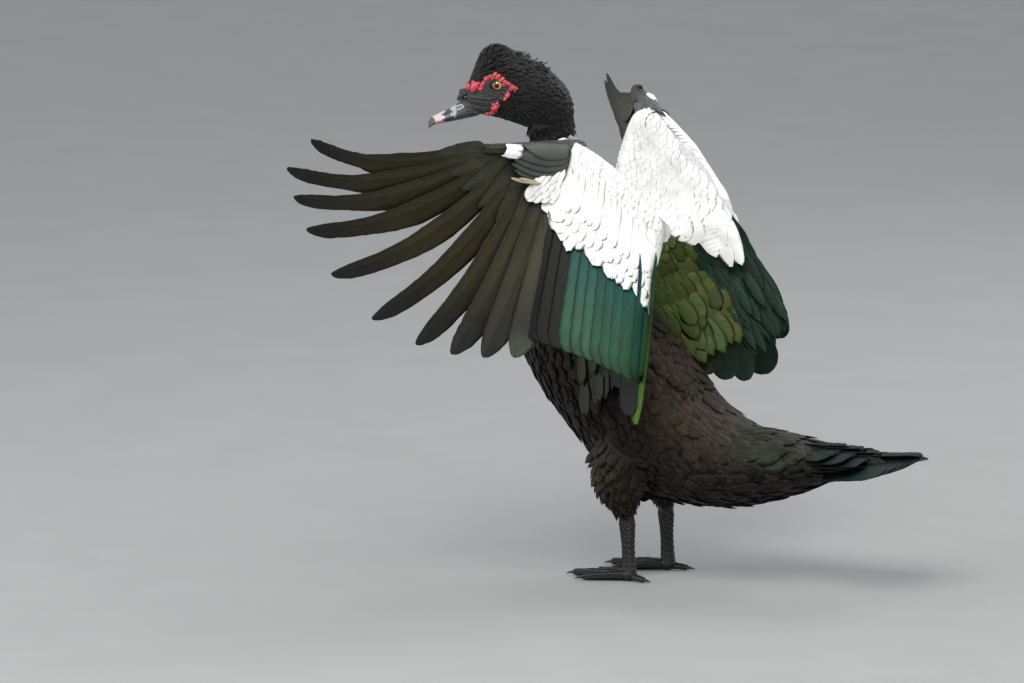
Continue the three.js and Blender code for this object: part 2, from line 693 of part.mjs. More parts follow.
// Tail
function tailVane(share, level, sizes) {
  const turn = share * sizes.spread;
  const along = v(Math.cos(TAIL.pitch), 0, -Math.sin(TAIL.pitch)).applyAxisAngle(UP, turn);
  along.addScaledVector(UP, sizes.tilt ?? 0).normalize();
  const across = v(-Math.sin(turn), Math.cos(turn), 0);
  const root = TAIL.root.clone().add(v(sizes.back ?? 0, share * sizes.rootSpan, level));
  return vane({
    at: straightPath(root, along, across, across.clone().cross(along).negate(), sizes.length),
    hand: -1,
    length: vary(sizes.length * lerp(1, sizes.outer ?? 1, share * share), 0.02),
    lead: sizes.width / 2,
    trail: sizes.width / 2,
    outline: sizes.outline,
  });
}

function tailPieces() {
  const pieces = [];
  for (let i = 0; i < TAIL.feathers; i += 1) {
    const share = i / (TAIL.feathers - 1) * 2 - 1;
    const level = -Math.abs(share) * TAIL.arch + (share > 0 ? TAIL.stagger : 0);
    pieces.push(tailVane(share, level, TAIL));
  }
  for (const sizes of [UPPER_TAIL_COVERTS, UNDER_TAIL_COVERTS]) {
    for (let i = 0; i < sizes.count; i += 1) {
      const share = i / (sizes.count - 1) * 2 - 1;
      const level = sizes.level - Math.abs(share) * sizes.arch + (share > 0 ? TAIL.stagger : 0);
      pieces.push(tailVane(share, level, sizes));
    }
  }
  return pieces;
}

// Legs and feet
function leg(side, body) {
  const place = (p) => v(p.x + (side > 0 ? STEP_BACK : 0), side < 0 ? p.y : -p.y, p.z);
  const hip = place(HIP);
  const ankle = place(ANKLE);
  const foot = place(FOOT);
  const knee = place(KNEE);
  const shin = knee.clone().lerp(ankle, 0.72);
  const thighShape = (grow) => limb([hip, knee, shin], THIGH_RADII, 14, grow);
  const thigh = thighShape(0).subtract(body);
  const tarsusTop = knee.clone().lerp(ankle, 0.5);
  const tarsus = join([
    limb([tarsusTop, ankle, foot], [TARSUS_RADIUS, TARSUS_RADIUS * 1.12, TARSUS_RADIUS], 8),
    bulb(ankle, TARSUS_RADIUS * 1.35),
  ]).subtract(thighShape(GAP));
  const ground = foot.clone().setZ(0);
  const pieces = [bulb(foot, TARSUS_RADIUS * 1.35, 0)];
  const tips = [];
  for (const toe of [...TOES, HIND_TOE]) {
    const heading = v(-Math.cos(toe.angle), side * Math.sin(toe.angle), 0);
    const start = ground.clone().add(v(0, 0, toe.radius * 1.3));
    const end = ground.clone().addScaledVector(heading, toe.length).add(v(0, 0, toe.radius * 0.7));
    pieces.push(limb([start, end], [toe.radius * 1.15, toe.radius * 0.75], 7));
    const claw = end.clone().addScaledVector(heading, CLAW_LENGTH).setZ(1.6);
    pieces.push(limb([end.clone().addScaledVector(heading, -3), claw], [2.6, 0.7], 5));
    tips.push(end);
  }
  const web = [ground.clone().addScaledVector(v(-1, 0, 0), 4), tips[0], tips[1], tips[2]];
  const webTop = web.map((p) => p.clone().setZ(WEB_THICKNESS));
  const webFoot = web.map((p) => p.clone().setZ(0));
  pieces.push(loft([webFoot, webTop]));
  const clearTarsus = limb([tarsusTop, ankle, foot],
    [TARSUS_RADIUS + GAP, TARSUS_RADIUS * 1.12 + GAP, TARSUS_RADIUS + GAP], 8);
  const footSolid = join(pieces).trimByPlane([0, 0, 1], 0).subtract(clearTarsus);
  return { thigh: largest(thigh), tarsus: largest(tarsus), foot: largest(footSolid) };
}

// Materials
const COLOURS = {
  black: ['#15171a', 0.6],
  brown: ['#2b221c', 0.8],
  green: ['#1d4a41', 0.5],
  white: ['#f0efec', 0.8],
  sooty: ['#2a2826', 0.7],
  horn: ['#39383a', 0.45],
  iris: ['#b98d35', 0.15],
  leg: ['#34353a', 0.6],
};

function material(key) {
  const [color, roughness] = COLOURS[key];
  return new THREE.MeshStandardMaterial({ color, roughness, metalness: 0 });
}

const duck = new THREE.Group();

// Adds a solid as a named mesh placed at its own middle
function add(name, solid, key) {
  const mesh = solid.getMesh();
  const geometry = new THREE.BufferGeometry();
  geometry.setAttribute('position', new THREE.BufferAttribute(new Float32Array(mesh.vertProperties), 3));
  geometry.setIndex(new THREE.BufferAttribute(new Uint32Array(mesh.triVerts), 1));
  geometry.computeBoundingBox();
  const middle = geometry.boundingBox.getCenter(v(0, 0, 0)).round();
  geometry.translate(-middle.x, -middle.y, -middle.z);
  const node = new THREE.Mesh(geometry, material(key));
  node.name = name;
  node.position.copy(middle);
  duck.add(node);
}

const whole = trunk();
const clearBody = trunk(GAP);
const [aheadOfTail, tailStump] = partAt(whole, TAIL_PART);
const [aheadOfTorso, torso] = partAt(aheadOfTail, NECK_PART);
const [, neck] = partAt(aheadOfTorso, HEAD_PART);
const [headStub] = partAt(whole, HEAD_PART);

const clearSkull = skullShape(GAP);
const headFlesh = join([headStub, skullShape(), ...crest(), ...caruncles(), ...lids()]);
const head = headFlesh
  .subtract(eyeball(-1, GAP))
  .subtract(eyeball(1, GAP))
  .subtract(join(gapeGrooves()));
add('head', largest(head), 'black');
for (const side of [-1, 1]) {
  add(side < 0 ? 'eye_right' : 'eye_left', eyeball(side), 'iris');
}
const clearKnob = bulb(inHead(KNOB.x, 0, KNOB.z), KNOB.size + GAP);
const lumps = join(caruncles());
add('bill_upper', largest(upperBill().subtract(clearSkull).subtract(clearKnob).subtract(lumps)), 'horn');
add('bill_lower', largest(lowerBill().subtract(clearSkull)), 'horn');
add('neck', largest(neck.subtract(clearSkull)), 'black');
add('torso', largest(torso), 'brown');

const clearTorso = partAt(partAt(clearBody, TAIL_PART - 0.01)[0], NECK_PART)[1];
const tail = join([tailStump, ...tailPieces()]).subtract(clearTorso);
add('tail', largest(tail), 'green');

for (const [name, pose] of [['left', LEFT_WING], ['right', RIGHT_WING]]) {
  const parts = wing(pose, clearBody);
  add(`upper_arm_${name}`, parts.arm, 'green');
  add(`forearm_${name}`, parts.forearm, 'white');
  add(`hand_${name}`, parts.hand, 'sooty');
  const legParts = leg(pose.side, clearBody);
  add(`thigh_${name}`, legParts.thigh, 'brown');
  add(`tarsus_${name}`, legParts.tarsus, 'leg');
  add(`foot_${name}`, legParts.foot, 'leg');
}

// The origin is the middle of the bounding box, on the floor
const bounds = new THREE.Box3().setFromObject(duck);
const middle = bounds.getCenter(v(0, 0, 0));
duck.position.set(-middle.x, -middle.y, -bounds.min.z);

export default duck;
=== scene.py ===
"""A muscovy drake with both wings lifted: plumage, face, legs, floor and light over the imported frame."""
import math
import bpy
import numpy as np
from mathutils import Matrix, Vector
from mathutils.bvhtree import BVHTree


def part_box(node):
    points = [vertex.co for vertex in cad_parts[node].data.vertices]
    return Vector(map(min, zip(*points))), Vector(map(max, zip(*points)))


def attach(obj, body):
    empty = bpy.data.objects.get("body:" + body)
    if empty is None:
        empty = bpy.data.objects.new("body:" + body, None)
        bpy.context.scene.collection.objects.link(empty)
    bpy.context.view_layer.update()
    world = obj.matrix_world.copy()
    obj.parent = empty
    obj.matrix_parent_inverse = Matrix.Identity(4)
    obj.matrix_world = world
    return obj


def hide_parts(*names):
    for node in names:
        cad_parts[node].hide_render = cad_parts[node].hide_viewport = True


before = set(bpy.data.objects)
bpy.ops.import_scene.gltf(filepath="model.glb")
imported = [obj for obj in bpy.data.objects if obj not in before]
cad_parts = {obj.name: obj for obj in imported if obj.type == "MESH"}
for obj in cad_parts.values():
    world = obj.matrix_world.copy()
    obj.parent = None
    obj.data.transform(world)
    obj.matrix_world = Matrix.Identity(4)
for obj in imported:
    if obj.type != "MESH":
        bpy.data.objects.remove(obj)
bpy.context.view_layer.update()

MM = 0.001
RNG = np.random.default_rng(20)


def arr(*xs):
    return np.array(xs, dtype=float)


def unit(a):
    a = np.asarray(a, dtype=float)
    return a / np.maximum(np.linalg.norm(a, axis=-1, keepdims=True), 1e-9)


def dot(a, b):
    return (a * b).sum(-1, keepdims=True)


def lerp(a, b, t):
    return a + (b - a) * t


def smooth(x):
    x = np.clip(x, 0, 1)
    return x * x * (3 - 2 * x)


def circle(sides):
    """Angles evenly round a circle."""
    return np.linspace(0, 2 * math.pi, sides, endpoint=False)


def run_length(path):
    """Distance along a path at each of its points."""
    return np.concatenate([[0], np.cumsum(np.linalg.norm(np.diff(path, axis=0), axis=1))])


# Shared dimensions, mm, bird frame
NECK_TOP = arr(-119, 0, 473)
HEAD_TURN = math.radians(27)
EYE = arr(61.6, 17.5, 76)
EYE_RADIUS = 8.0
SPINE = np.array([
    (262, 149, 20, 7, 7), (215, 143, 40, 21, 24), (170, 139, 57, 37, 39), (116, 135, 70, 50, 50),
    (66, 145, 77, 65, 63), (19, 166, 79, 80, 80), (-19, 201, 79, 83, 78), (-58, 242, 77, 82, 77),
    (-89, 289, 71, 74, 75), (-112, 345, 55, 57, 60), (-120, 405, 38, 40, 42), (-120, 465, 29, 31, 31),
    (-119, 512, 24, 26, 26)], dtype=float)
SKULL = np.array([
    (-21, 50, 9, 9, 12), (-13, 52, 20, 23, 30), (5, 57, 27, 34, 40), (25, 62, 28, 40, 38),
    (45, 65, 26, 47, 34), (62, 66, 24, 52, 30), (76, 66, 20, 47, 27), (87, 64, 15, 31, 23),
    (95, 60, 10, 15, 17)], dtype=float)
BILL = np.array([
    (82, 63, 44.5, 39.5, 11), (92, 62, 41.5, 37, 12), (101, 57, 39, 35, 11), (109, 51, 37, 33.4, 10.4),
    (117, 46.4, 35, 32, 11), (125, 42.4, 33, 30.4, 12), (131, 39.2, 31.6, 29.6, 11)], dtype=float)
HIP = arr(8, -45, 152)
KNEE = arr(-12, -46, 116)
THIGH_SKIN_RADII = (40, 29, 9)
ANKLE = arr(-5, -41, 68)
FOOT = arr(-2, -41, 9)
STEP_BACK = 8
TOES = ((-0.5, 58, 4.6), (-0.02, 70, 4.8), (0.42, 52, 4.6))
HIND_TOE = (math.pi - 0.25, 22, 3.8)

LEFT = dict(
    side=-1, shoulder=arr(-60, -50, 322), elbow=arr(48, -84, 402), wrist=arr(-47, -105, 490),
    hand=(-0.44, -0.89, 0.1),
    primaries=[(-0.07, -0.39, -0.92), (-0.38, -0.44, -0.81), (-0.54, -0.8, -0.26), (-0.43, -0.89, 0.12)],
    secondaries=[(-0.02, -0.42, -0.9), (0.11, -0.47, -0.88), (0.16, -0.44, -0.88)],
    tertials=[(0.15, -0.36, -0.92), (0.2, -0.3, -0.93)],
    scapulars=[(0.24, -0.3, -0.92), (0.3, -0.3, -0.9)])
RIGHT = dict(
    side=1, shoulder=arr(-60, 50, 322), elbow=arr(41, 99, 405), wrist=arr(-44, 106, 500),
    hand=(-0.557, 0.822, 0.112),
    primaries=[(-0.168, 0.55, -0.819), (-0.452, 0.779, -0.426), (-0.563, 0.814, -0.135),
               (-0.585, 0.81, -0.046)],
    secondaries=[(0.18, 0.485, -0.856), (0.22, 0.447, -0.867), (0.294, 0.356, -0.886)],
    tertials=[(0.148, 0.392, -0.905), (0.4, 0.05, -0.91)],
    scapulars=[(0.5, 0.05, -0.86), (0.62, -0.03, -0.78)])
HAND_LENGTH = 135
ARM_RADII = (26, 22, 13)
FOREARM_RADII = (13, 14, 10)
FOREARM_BOW = 9
HAND_RADII = (10, 7.5, 3.5)

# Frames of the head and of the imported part
COS, SIN = math.cos(math.pi + HEAD_TURN), math.sin(math.pi + HEAD_TURN)


def in_head(x, y, z):
    x, y, z = np.broadcast_arrays(np.asarray(x, float), np.asarray(y, float), np.asarray(z, float))
    return np.stack([COS * x - SIN * y, SIN * x + COS * y, z], -1) + NECK_TOP


def to_head(p):
    q = np.asarray(p, float) - NECK_TOP
    return np.stack([COS * q[..., 0] + SIN * q[..., 1], -SIN * q[..., 0] + COS * q[..., 1], q[..., 2]], -1)


def head_dir(x, y, z):
    return unit(in_head(x, y, z) - NECK_TOP)


low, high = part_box("eye_left")
SHIFT = (np.array(low) + np.array(high)) / 2 / MM - in_head(EYE[0], EYE[1], EYE[2])


def to_row(p):
    return (np.asarray(p, float) + SHIFT) * MM


def catmull(points, t):
    """Points of the uniform Catmull-Rom curve through points, at shares t of its span."""
    pts = np.asarray(points, float)
    ext = np.vstack([2 * pts[0] - pts[1], pts, 2 * pts[-1] - pts[-2]])
    t = np.clip(np.atleast_1d(np.asarray(t, float)), 0, 1) * (len(pts) - 1)
    i = np.minimum(t.astype(int), len(pts) - 2)
    w = (t - i)[:, None]
    p0, p1, p2, p3 = ext[i], ext[i + 1], ext[i + 2], ext[i + 3]
    v0, v1 = (p2 - p0) / 2, (p3 - p1) / 2
    return (2 * p1 - 2 * p2 + v0 + v1) * w ** 3 + (-3 * p1 + 3 * p2 - 2 * v0 - v1) * w ** 2 + v0 * w + p1


# Mesh making
def new_object(name, data):
    obj = bpy.data.objects.new(name, data)
    bpy.context.scene.collection.objects.link(obj)
    return obj


def paint(mesh, tint):
    """Stores one colour per vertex as the attribute Tint."""
    colours = np.concatenate([np.clip(tint, 0, 1), np.ones((len(tint), 1))], 1)
    layer = mesh.color_attributes.new("Tint", "FLOAT_COLOR", "POINT")
    layer.data.foreach_set("color", colours.astype(np.float32).ravel())


def make_object(name, verts, quads, mat, *, tint=None, vane=None, patch=None, soft=None):
    """One mesh object from arrays: vertices in bird mm, quads of indices, tints and uv maps per vertex."""
    mesh = bpy.data.meshes.new(name)
    quads = np.asarray(quads, dtype=np.int32)
    mesh.vertices.add(len(verts))
    mesh.vertices.foreach_set("co", to_row(verts).astype(np.float32).ravel())
    mesh.loops.add(quads.size)
    mesh.loops.foreach_set("vertex_index", quads.ravel())
    mesh.polygons.add(len(quads))
    mesh.polygons.foreach_set("loop_start", np.arange(0, quads.size, 4, dtype=np.int32))
    mesh.update(calc_edges=True)
    flat = quads.ravel()
    for layer_name, values in (("OFBake", patch), ("Vane", vane)):
        if values is not None:
            layer = mesh.uv_layers.new(name=layer_name)
            layer.data.foreach_set("uv", values[flat].astype(np.float32).ravel())
    if tint is not None:
        paint(mesh, tint)
    mesh.polygons.foreach_set("use_smooth", np.ones(len(quads), bool) if soft is None else soft)
    mesh.validate()
    mesh.materials.append(mat)
    return new_object(name, mesh)


def grid_quads(rows, cols, wrap=False):
    i = np.arange(rows - 1)[:, None]
    j = np.arange(cols if wrap else cols - 1)[None, :]
    k = (j + 1) % cols
    a, b = i * cols + j, i * cols + k
    c, d = (i + 1) * cols + k, (i + 1) * cols + j
    return np.stack([a, d, c, b], -1).reshape(-1, 4)


def end_strips(rows, cols):
    """Faces that close the first and the last row of a grid. cols is even."""
    base = (rows - 1) * cols
    ends = []
    for k in range(cols // 2 - 1):
        ends.append((k, k + 1, cols - 2 - k, cols - 1 - k))
        ends.append((base + cols - 1 - k, base + cols - 2 - k, base + k + 1, base + k))
    return np.array(ends)


def lens_quads(rows, cols):
    """A grid closed underneath by flat strips from edge to edge, and at its two ends."""
    top = grid_quads(rows, cols)
    i = np.arange(rows - 1) * cols
    under = np.stack([i, i + cols - 1, i + 2 * cols - 1, i + cols], -1)
    return np.concatenate([top, under, end_strips(rows, cols)]), len(top)


class Coat:
    """Gathers the feathers of one piece: vertices, faces, tints and uv patches."""

    def __init__(self):
        self.lists = [[], [], [], [], [], []]
        self.count = 0

    def add(self, verts, quads, tint, vane, patch, soft):
        for store, values in zip(self.lists, (verts, quads + self.count, tint, vane, patch, soft)):
            store.append(values)
        self.count += len(verts)

    def build(self, name, mat, slot, *nodes):
        verts, quads, tint, vane, patch, soft = (np.concatenate(x) for x in self.lists)
        obj = make_object(name, verts, quads, mat, tint=tint, vane=vane, patch=patch, soft=soft)
        return dress(obj, slot, *nodes)


def dress(obj, slot, *nodes):
    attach(obj, "root")
    if nodes:
        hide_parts(*nodes)
    return obj


PATCH_HALF = arr(0.0014, 0.0014)


RIM_FADE, RIM_SIDE_SHARE = 0.3, 0.8


def vane_outline(s, tip, point, least):
    """Share of the half width along a short feather, rounded or pointed over its last part."""
    start = 1 - tip
    u = np.clip((s - start) / tip, 0, 1)
    rounded = np.sqrt(1 - u ** 2) * (1 - point) + point * (1 - u)
    return np.maximum(np.where(s < start, lerp(0.5, 1, smooth(s / start)), rounded), least)


def add_vanes(coat, verts, ss, tt, tint, edge, rim_from, where):
    """Adds closed vanes from their grids of points, tinted from the middle to the rim."""
    n, rows, cols = ss.shape
    sides = smooth((np.abs(tt) - 0.5) / 0.5) * smooth(ss / 0.5) * RIM_SIDE_SHARE
    rim = np.maximum(smooth((ss - rim_from) / RIM_FADE), sides)
    colour = lerp(tint[:, None, None, :], edge[:, None, None, :], np.clip(rim, 0, 1)[..., None])
    quads, tops = lens_quads(rows, cols)
    every = (quads[None] + (np.arange(n) * (rows * cols))[:, None, None]).reshape(-1, 4)
    soft = np.tile(np.arange(len(quads)) < tops, n)
    vane = np.stack([tt, ss], -1)
    patch = where[:, None, None, :] + np.stack([tt, 2 * ss - 1], -1) * PATCH_HALF
    coat.add(verts.reshape(-1, 3), every, colour.reshape(-1, 3), vane.reshape(-1, 2), patch.reshape(-1, 2),
             soft)


def feathers(coat, root, along, normal, length, width, tint, edge, where, *, nu=5, nv=3, curl=0.1,
             camber=0.16,
             ragged=0.12, tip=0.45, lift=0.0, point=0.0, rim_from=0.62, sink=0.0, roll=0.08):
    """Many short feathers at once: closed lenses that hug the body, rounded or ragged at the tip."""
    n = len(root)
    along, normal = unit(along), unit(normal)
    normal = unit(normal - dot(normal, along) * along)
    side = np.cross(normal, along)
    length, width, curl, lift, sink = (np.broadcast_to(np.asarray(x, float), (n,))
                                       for x in (length, width, curl, lift, sink))
    s, t = np.linspace(0, 1, nu + 1), np.linspace(-1, 1, nv + 1)
    outline = vane_outline(s, tip, point, 0.1)
    shape = (n, nu + 1, nv + 1)
    ss, tt = np.broadcast_to(s[None, :, None], shape), np.broadcast_to(t[None, None, :], shape)
    end = smooth((ss - (1 - tip)) / tip)
    reach = ss + RNG.uniform(-1, 1, shape) * ragged * end * 0.7
    half = outline[None, :, None] * (1 + RNG.uniform(-1, 1, (n, nu + 1, 1)) * ragged * 0.4)
    x = reach * length[:, None, None]
    y = tt * half * width[:, None, None] / 2
    arch = camber * (1 - tt ** 2) * outline[None, :, None] * width[:, None, None] / 2
    z = ((lift[:, None, None] * ss - curl[:, None, None] * ss ** 2) * length[:, None, None] + arch
         - sink[:, None, None] * (1 - ss) + roll * y)
    verts = (root[:, None, None, :] + x[..., None] * along[:, None, None, :]
             + y[..., None] * side[:, None, None, :]
             + z[..., None] * normal[:, None, None, :])
    add_vanes(coat, verts, ss, tt, tint, edge, rim_from, where)


def laid(coat, place, uv, size, half, turn, tint, edge, where, *, nu=7, nv=5, low=0.3, high=1.2, roll=0.3,
         tip=0.4, point=0.0, ragged=0.02, rim_from=0.86, camber=0.5):
    """Feathers laid on a curved surface: every vertex is set on it, a little higher towards the tip."""
    n = len(uv)
    size, half, turn, low, high = (np.broadcast_to(np.asarray(x, float), (n,))
                                   for x in (size, half, turn, low, high))
    s, t = 1 - (1 - np.linspace(0, 1, nu + 1)) ** 1.5, np.linspace(-1, 1, nv + 1)
    outline = vane_outline(s, tip, point, 0.08)[None, :, None]
    shape = (n, nu + 1, nv + 1)
    ss, tt = np.broadcast_to(s[None, :, None], shape), np.broadcast_to(t[None, None, :], shape)
    base, normal = place(uv[:1])
    right = place(uv[:1] + arr(0.05, 0))[0] - base
    ahead = place(uv[:1] + arr(0, 1.0))[0] - base
    hand = 1 if float(dot(np.cross(normal, ahead), right)[0, 0]) > 0 else -1
    x = (ss + RNG.uniform(-1, 1, shape) * ragged * smooth((ss - (1 - tip)) / tip)) * size[:, None, None]
    y = hand * tt * outline * half[:, None, None] + turn[:, None, None] * x
    points, normals = place((uv[:, None, None, :] + np.stack([y, x], -1)).reshape(-1, 2))
    raised = lerp(low[:, None, None], high[:, None, None], ss) + roll * tt + camber * (1 - tt ** 2) * outline
    add_vanes(coat, points + normals * raised.reshape(-1, 1), ss, tt, tint, edge, rim_from, where)


def shade(n, base, spread):
    """n tints round a base colour, each a little lighter or darker."""
    return np.clip(np.asarray(base, float)[None, :] * (1 + RNG.uniform(-1, 1, (n, 1)) * spread), 0, 1)


def mixed(base, *layers):
    """Tints from a base and (colour, mask) layers over it."""
    out = np.broadcast_to(np.asarray(base, float), (len(layers[0][1]), 3))
    for colour, mask in layers:
        out = lerp(out, np.asarray(colour, float).reshape(-1, 3), np.clip(mask, 0, 1)[:, None])
    return out


def inside(shape, x, z):
    """Which points (x, z) lie inside a closed outline."""
    result = np.zeros(len(x), bool)
    pts = np.asarray(shape, float)
    for (x0, z0), (x1, z1) in zip(pts, np.roll(pts, -1, axis=0)):
        cross = ((z0 > z) != (z1 > z)) & (x < (x1 - x0) * (z - z0) / (z1 - z0 + 1e-12) + x0)
        result ^= cross
    return result


# Body surfaces
def spine_frame(t):
    s = catmull(SPINE, t)
    e = 1e-3
    d = catmull(SPINE, np.clip(t + e, 0, 1)) - catmull(SPINE, np.clip(t - e, 0, 1))
    centre = np.stack([s[:, 0], np.zeros(len(s)), s[:, 1]], -1)
    forward = unit(np.stack([d[:, 0], np.zeros(len(s)), d[:, 1]], -1))
    dorsal = unit(np.cross(arr(0, 1, 0), forward))
    return centre, forward, dorsal, s[:, 2], s[:, 3], s[:, 4]


def trunk_point(t, angle, inset=0.0):
    centre, _, dorsal, half, above, below = spine_frame(t)
    c, s = np.cos(angle), np.sin(angle)
    rise = c * (np.where(c > 0, above, below) - inset)
    return centre + s[:, None] * (half - inset)[:, None] * arr(0, 1, 0) + rise[:, None] * dorsal


def skull_point(t, angle, inset=0.0):
    s = catmull(SKULL, t)
    c = np.cos(angle)
    return in_head(s[:, 0], np.sin(angle) * (s[:, 2] - inset),
                   s[:, 1] + c * (np.where(c > 0, s[:, 3], s[:, 4]) - inset))


def tube(points, radii, sides=20, steps=24):
    t = np.linspace(0, 1, steps + 1)
    path = catmull(points, t)
    r = np.interp(t, np.linspace(0, 1, len(radii)), radii)
    d = unit(np.gradient(path, axis=0))
    ref = arr(0, 1, 0) if abs(d[0][1]) < 0.9 else arr(1, 0, 0)
    u = unit(np.cross(d, ref))
    w = np.cross(d, u)
    a = circle(sides)
    rings = path[:, None, :] + r[:, None, None] * (np.cos(a)[None, :, None] * u[:, None, :]
                                                 + np.sin(a)[None, :, None] * w[:, None, :])
    return rings, steps + 1, sides


def fan(keys, t):
    return unit(catmull([np.asarray(k, float) for k in keys], t))


# Materials
def node_material(name):
    mat = bpy.data.materials.new(name)
    mat.use_nodes = True
    nodes, links = mat.node_tree.nodes, mat.node_tree.links
    nodes.clear()
    out = nodes.new("ShaderNodeOutputMaterial")
    bsdf = nodes.new("ShaderNodeBsdfPrincipled")
    links.new(bsdf.outputs[0], out.inputs[0])
    return mat, nodes, links, bsdf


def settle(node, **values):
    """Sets a node's sockets. A socket's name is written with _ for each space."""
    for name, value in values.items():
        node.inputs[name.replace("_", " ")].default_value = value


def noise(nodes, links, vector, scale, detail=3.0):
    tex = nodes.new("ShaderNodeTexNoise")
    settle(tex, Scale=scale, Detail=detail)
    links.new(vector, tex.inputs["Vector"])
    return tex.outputs["Fac"]


def spread(nodes, links, value, low, high):
    ramp = nodes.new("ShaderNodeMapRange")
    settle(ramp, From_Min=0.25, From_Max=0.75, To_Min=low, To_Max=high)
    links.new(value, ramp.inputs["Value"])
    return ramp.outputs[0]


def multiply(nodes, links, colour, value):
    mix = nodes.new("ShaderNodeMix")
    mix.data_type = "RGBA"
    mix.blend_type = "MULTIPLY"
    mix.inputs["Factor"].default_value = 1.0
    links.new(colour, mix.inputs[6])
    links.new(value, mix.inputs[7])
    return mix.outputs[2]


def tint_socket(nodes):
    attr = nodes.new("ShaderNodeAttribute")
    attr.attribute_name = "Tint"
    return attr.outputs["Color"]


def bump(nodes, links, bsdf, height, strength, distance):
    node = nodes.new("ShaderNodeBump")
    settle(node, Strength=strength, Distance=distance)
    links.new(height, node.inputs["Height"])
    links.new(node.outputs[0], bsdf.inputs["Normal"])


def math_node(nodes, links, operation, *values):
    node = nodes.new("ShaderNodeMath")
    node.operation = operation
    for socket, value in zip(node.inputs, values):
        if isinstance(value, (int, float)):
            socket.default_value = value
        else:
            links.new(value, socket)
    return node.outputs[0]


def plumage(name, roughness, barbs, *, relief=0.35, streak=0.22, sheen=0.0, specular=0.2, coat=0.0):
    """Feather vanes: barbs run out and forward from the shaft, as fine streaks of tone and relief."""
    mat, nodes, links, bsdf = node_material(name)
    settle(bsdf, Roughness=roughness, Specular_IOR_Level=specular, Sheen_Weight=sheen, Sheen_Roughness=0.5,
           Coat_Weight=coat, Coat_Roughness=0.4)
    parts = []
    for uv_name in ("Vane", "OFBake"):
        uv = nodes.new("ShaderNodeUVMap")
        uv.uv_map = uv_name
        split = nodes.new("ShaderNodeSeparateXYZ")
        links.new(uv.outputs[0], split.inputs[0])
        parts.append(split)
    away = math_node(nodes, links, "ABSOLUTE", parts[0].outputs[0])
    slant = math_node(nodes, links, "MULTIPLY_ADD", away, -0.2, parts[0].outputs[1])
    line = math_node(nodes, links, "MULTIPLY", slant, barbs)
    own = math_node(nodes, links, "MULTIPLY", parts[1].outputs[0], 700.0)
    place = nodes.new("ShaderNodeCombineXYZ")
    for source, socket in zip((line, parts[0].outputs[0], own), place.inputs):
        links.new(source, socket)
    barb = noise(nodes, links, place.outputs[0], 1.0, 2.0)
    coords = nodes.new("ShaderNodeTexCoord")
    wide = noise(nodes, links, coords.outputs["Object"], 60.0)
    colour = multiply(nodes, links, tint_socket(nodes), spread(nodes, links, barb, 1 - streak, 1 + streak))
    colour = multiply(nodes, links, colour, spread(nodes, links, wide, 0.85, 1.15))
    links.new(colour, bsdf.inputs["Base Color"])
    bump(nodes, links, bsdf, barb, relief, 0.0006)
    return mat


def skin_material(name, roughness, scale, relief, distance, *, low=0.8, high=1.2, cells=False, coat=0.0,
                  specular=0.4,
                  scatter=0.0):
    mat, nodes, links, bsdf = node_material(name)
    settle(bsdf, Roughness=roughness, Specular_IOR_Level=specular, Coat_Weight=coat, Coat_Roughness=0.12,
           Subsurface_Weight=scatter, Subsurface_Scale=0.002)
    coords = nodes.new("ShaderNodeTexCoord")
    grain = noise(nodes, links, coords.outputs["Object"], scale)
    links.new(multiply(nodes, links, tint_socket(nodes), spread(nodes, links, grain, low, high)),
              bsdf.inputs["Base Color"])
    height = grain
    if cells:
        voronoi = nodes.new("ShaderNodeTexVoronoi")
        voronoi.feature = "DISTANCE_TO_EDGE"
        settle(voronoi, Scale=scale)
        links.new(coords.outputs["Object"], voronoi.inputs["Vector"])
        height = math_node(nodes, links, "MINIMUM", voronoi.outputs["Distance"], 0.12)
    bump(nodes, links, bsdf, height, relief, distance)
    return mat


BODY_MAT = plumage("body_plumage", 0.6, 14, streak=0.3, sheen=0.03, specular=0.16)
BLACK_MAT = plumage("black_plumage", 0.5, 10, streak=0.3, sheen=0.03, specular=0.2)
WHITE_MAT = plumage("white_plumage", 0.7, 16, relief=0.25, streak=0.04, specular=0.2)
FLIGHT_MAT = plumage("flight_plumage", 0.5, 120, streak=0.25, specular=0.18)
GLOSS_MAT = plumage("green_plumage", 0.5, 100, streak=0.3, specular=0.16)
SCAPULAR_MAT = plumage("scapular_plumage", 0.48, 26, streak=0.3, specular=0.2)
SKIN_MAT = skin_material("dark_skin", 0.7, 300.0, 0.4, 0.0006, specular=0.2)
FACE_MAT = skin_material("face_skin", 0.5, 900.0, 0.5, 0.0004, low=0.7, high=1.3)
RED_MAT = skin_material("caruncle_skin", 0.36, 1100.0, 0.4, 0.0003, coat=0.2, scatter=0.15)
BILL_MAT = skin_material("bill_horn", 0.4, 520.0, 0.25, 0.0003, low=0.85, high=1.15, coat=0.1)
LEG_MAT = skin_material("leg_scutes", 0.5, 560.0, 0.7, 0.0006, cells=True)
EYE_MAT = skin_material("eye_wet", 0.06, 2600.0, 0.02, 0.0001, low=0.9, high=1.1, coat=1.0, specular=0.5)
CLAW_MAT = skin_material("claw_horn", 0.35, 600.0, 0.2, 0.0002)

# Skin
SKIN_INSET, SKULL_INSET = 4.0, 1.2
VOXEL = 2.4
SHIN_SHARE = 0.72
HAND_SKIN_SHARE = 0.7
FOLD_HALF = 2.5
SKIN_DARK, SKIN_WHITE = 0.012, (0.6, 0.6, 0.58)
WHITE_REACH, WHITE_OUT, WHITE_ABOVE = 46, 52, 378


def place_leg(p, side):
    return arr(p[0] + (STEP_BACK if side > 0 else 0), p[1] if side < 0 else -p[1], p[2])


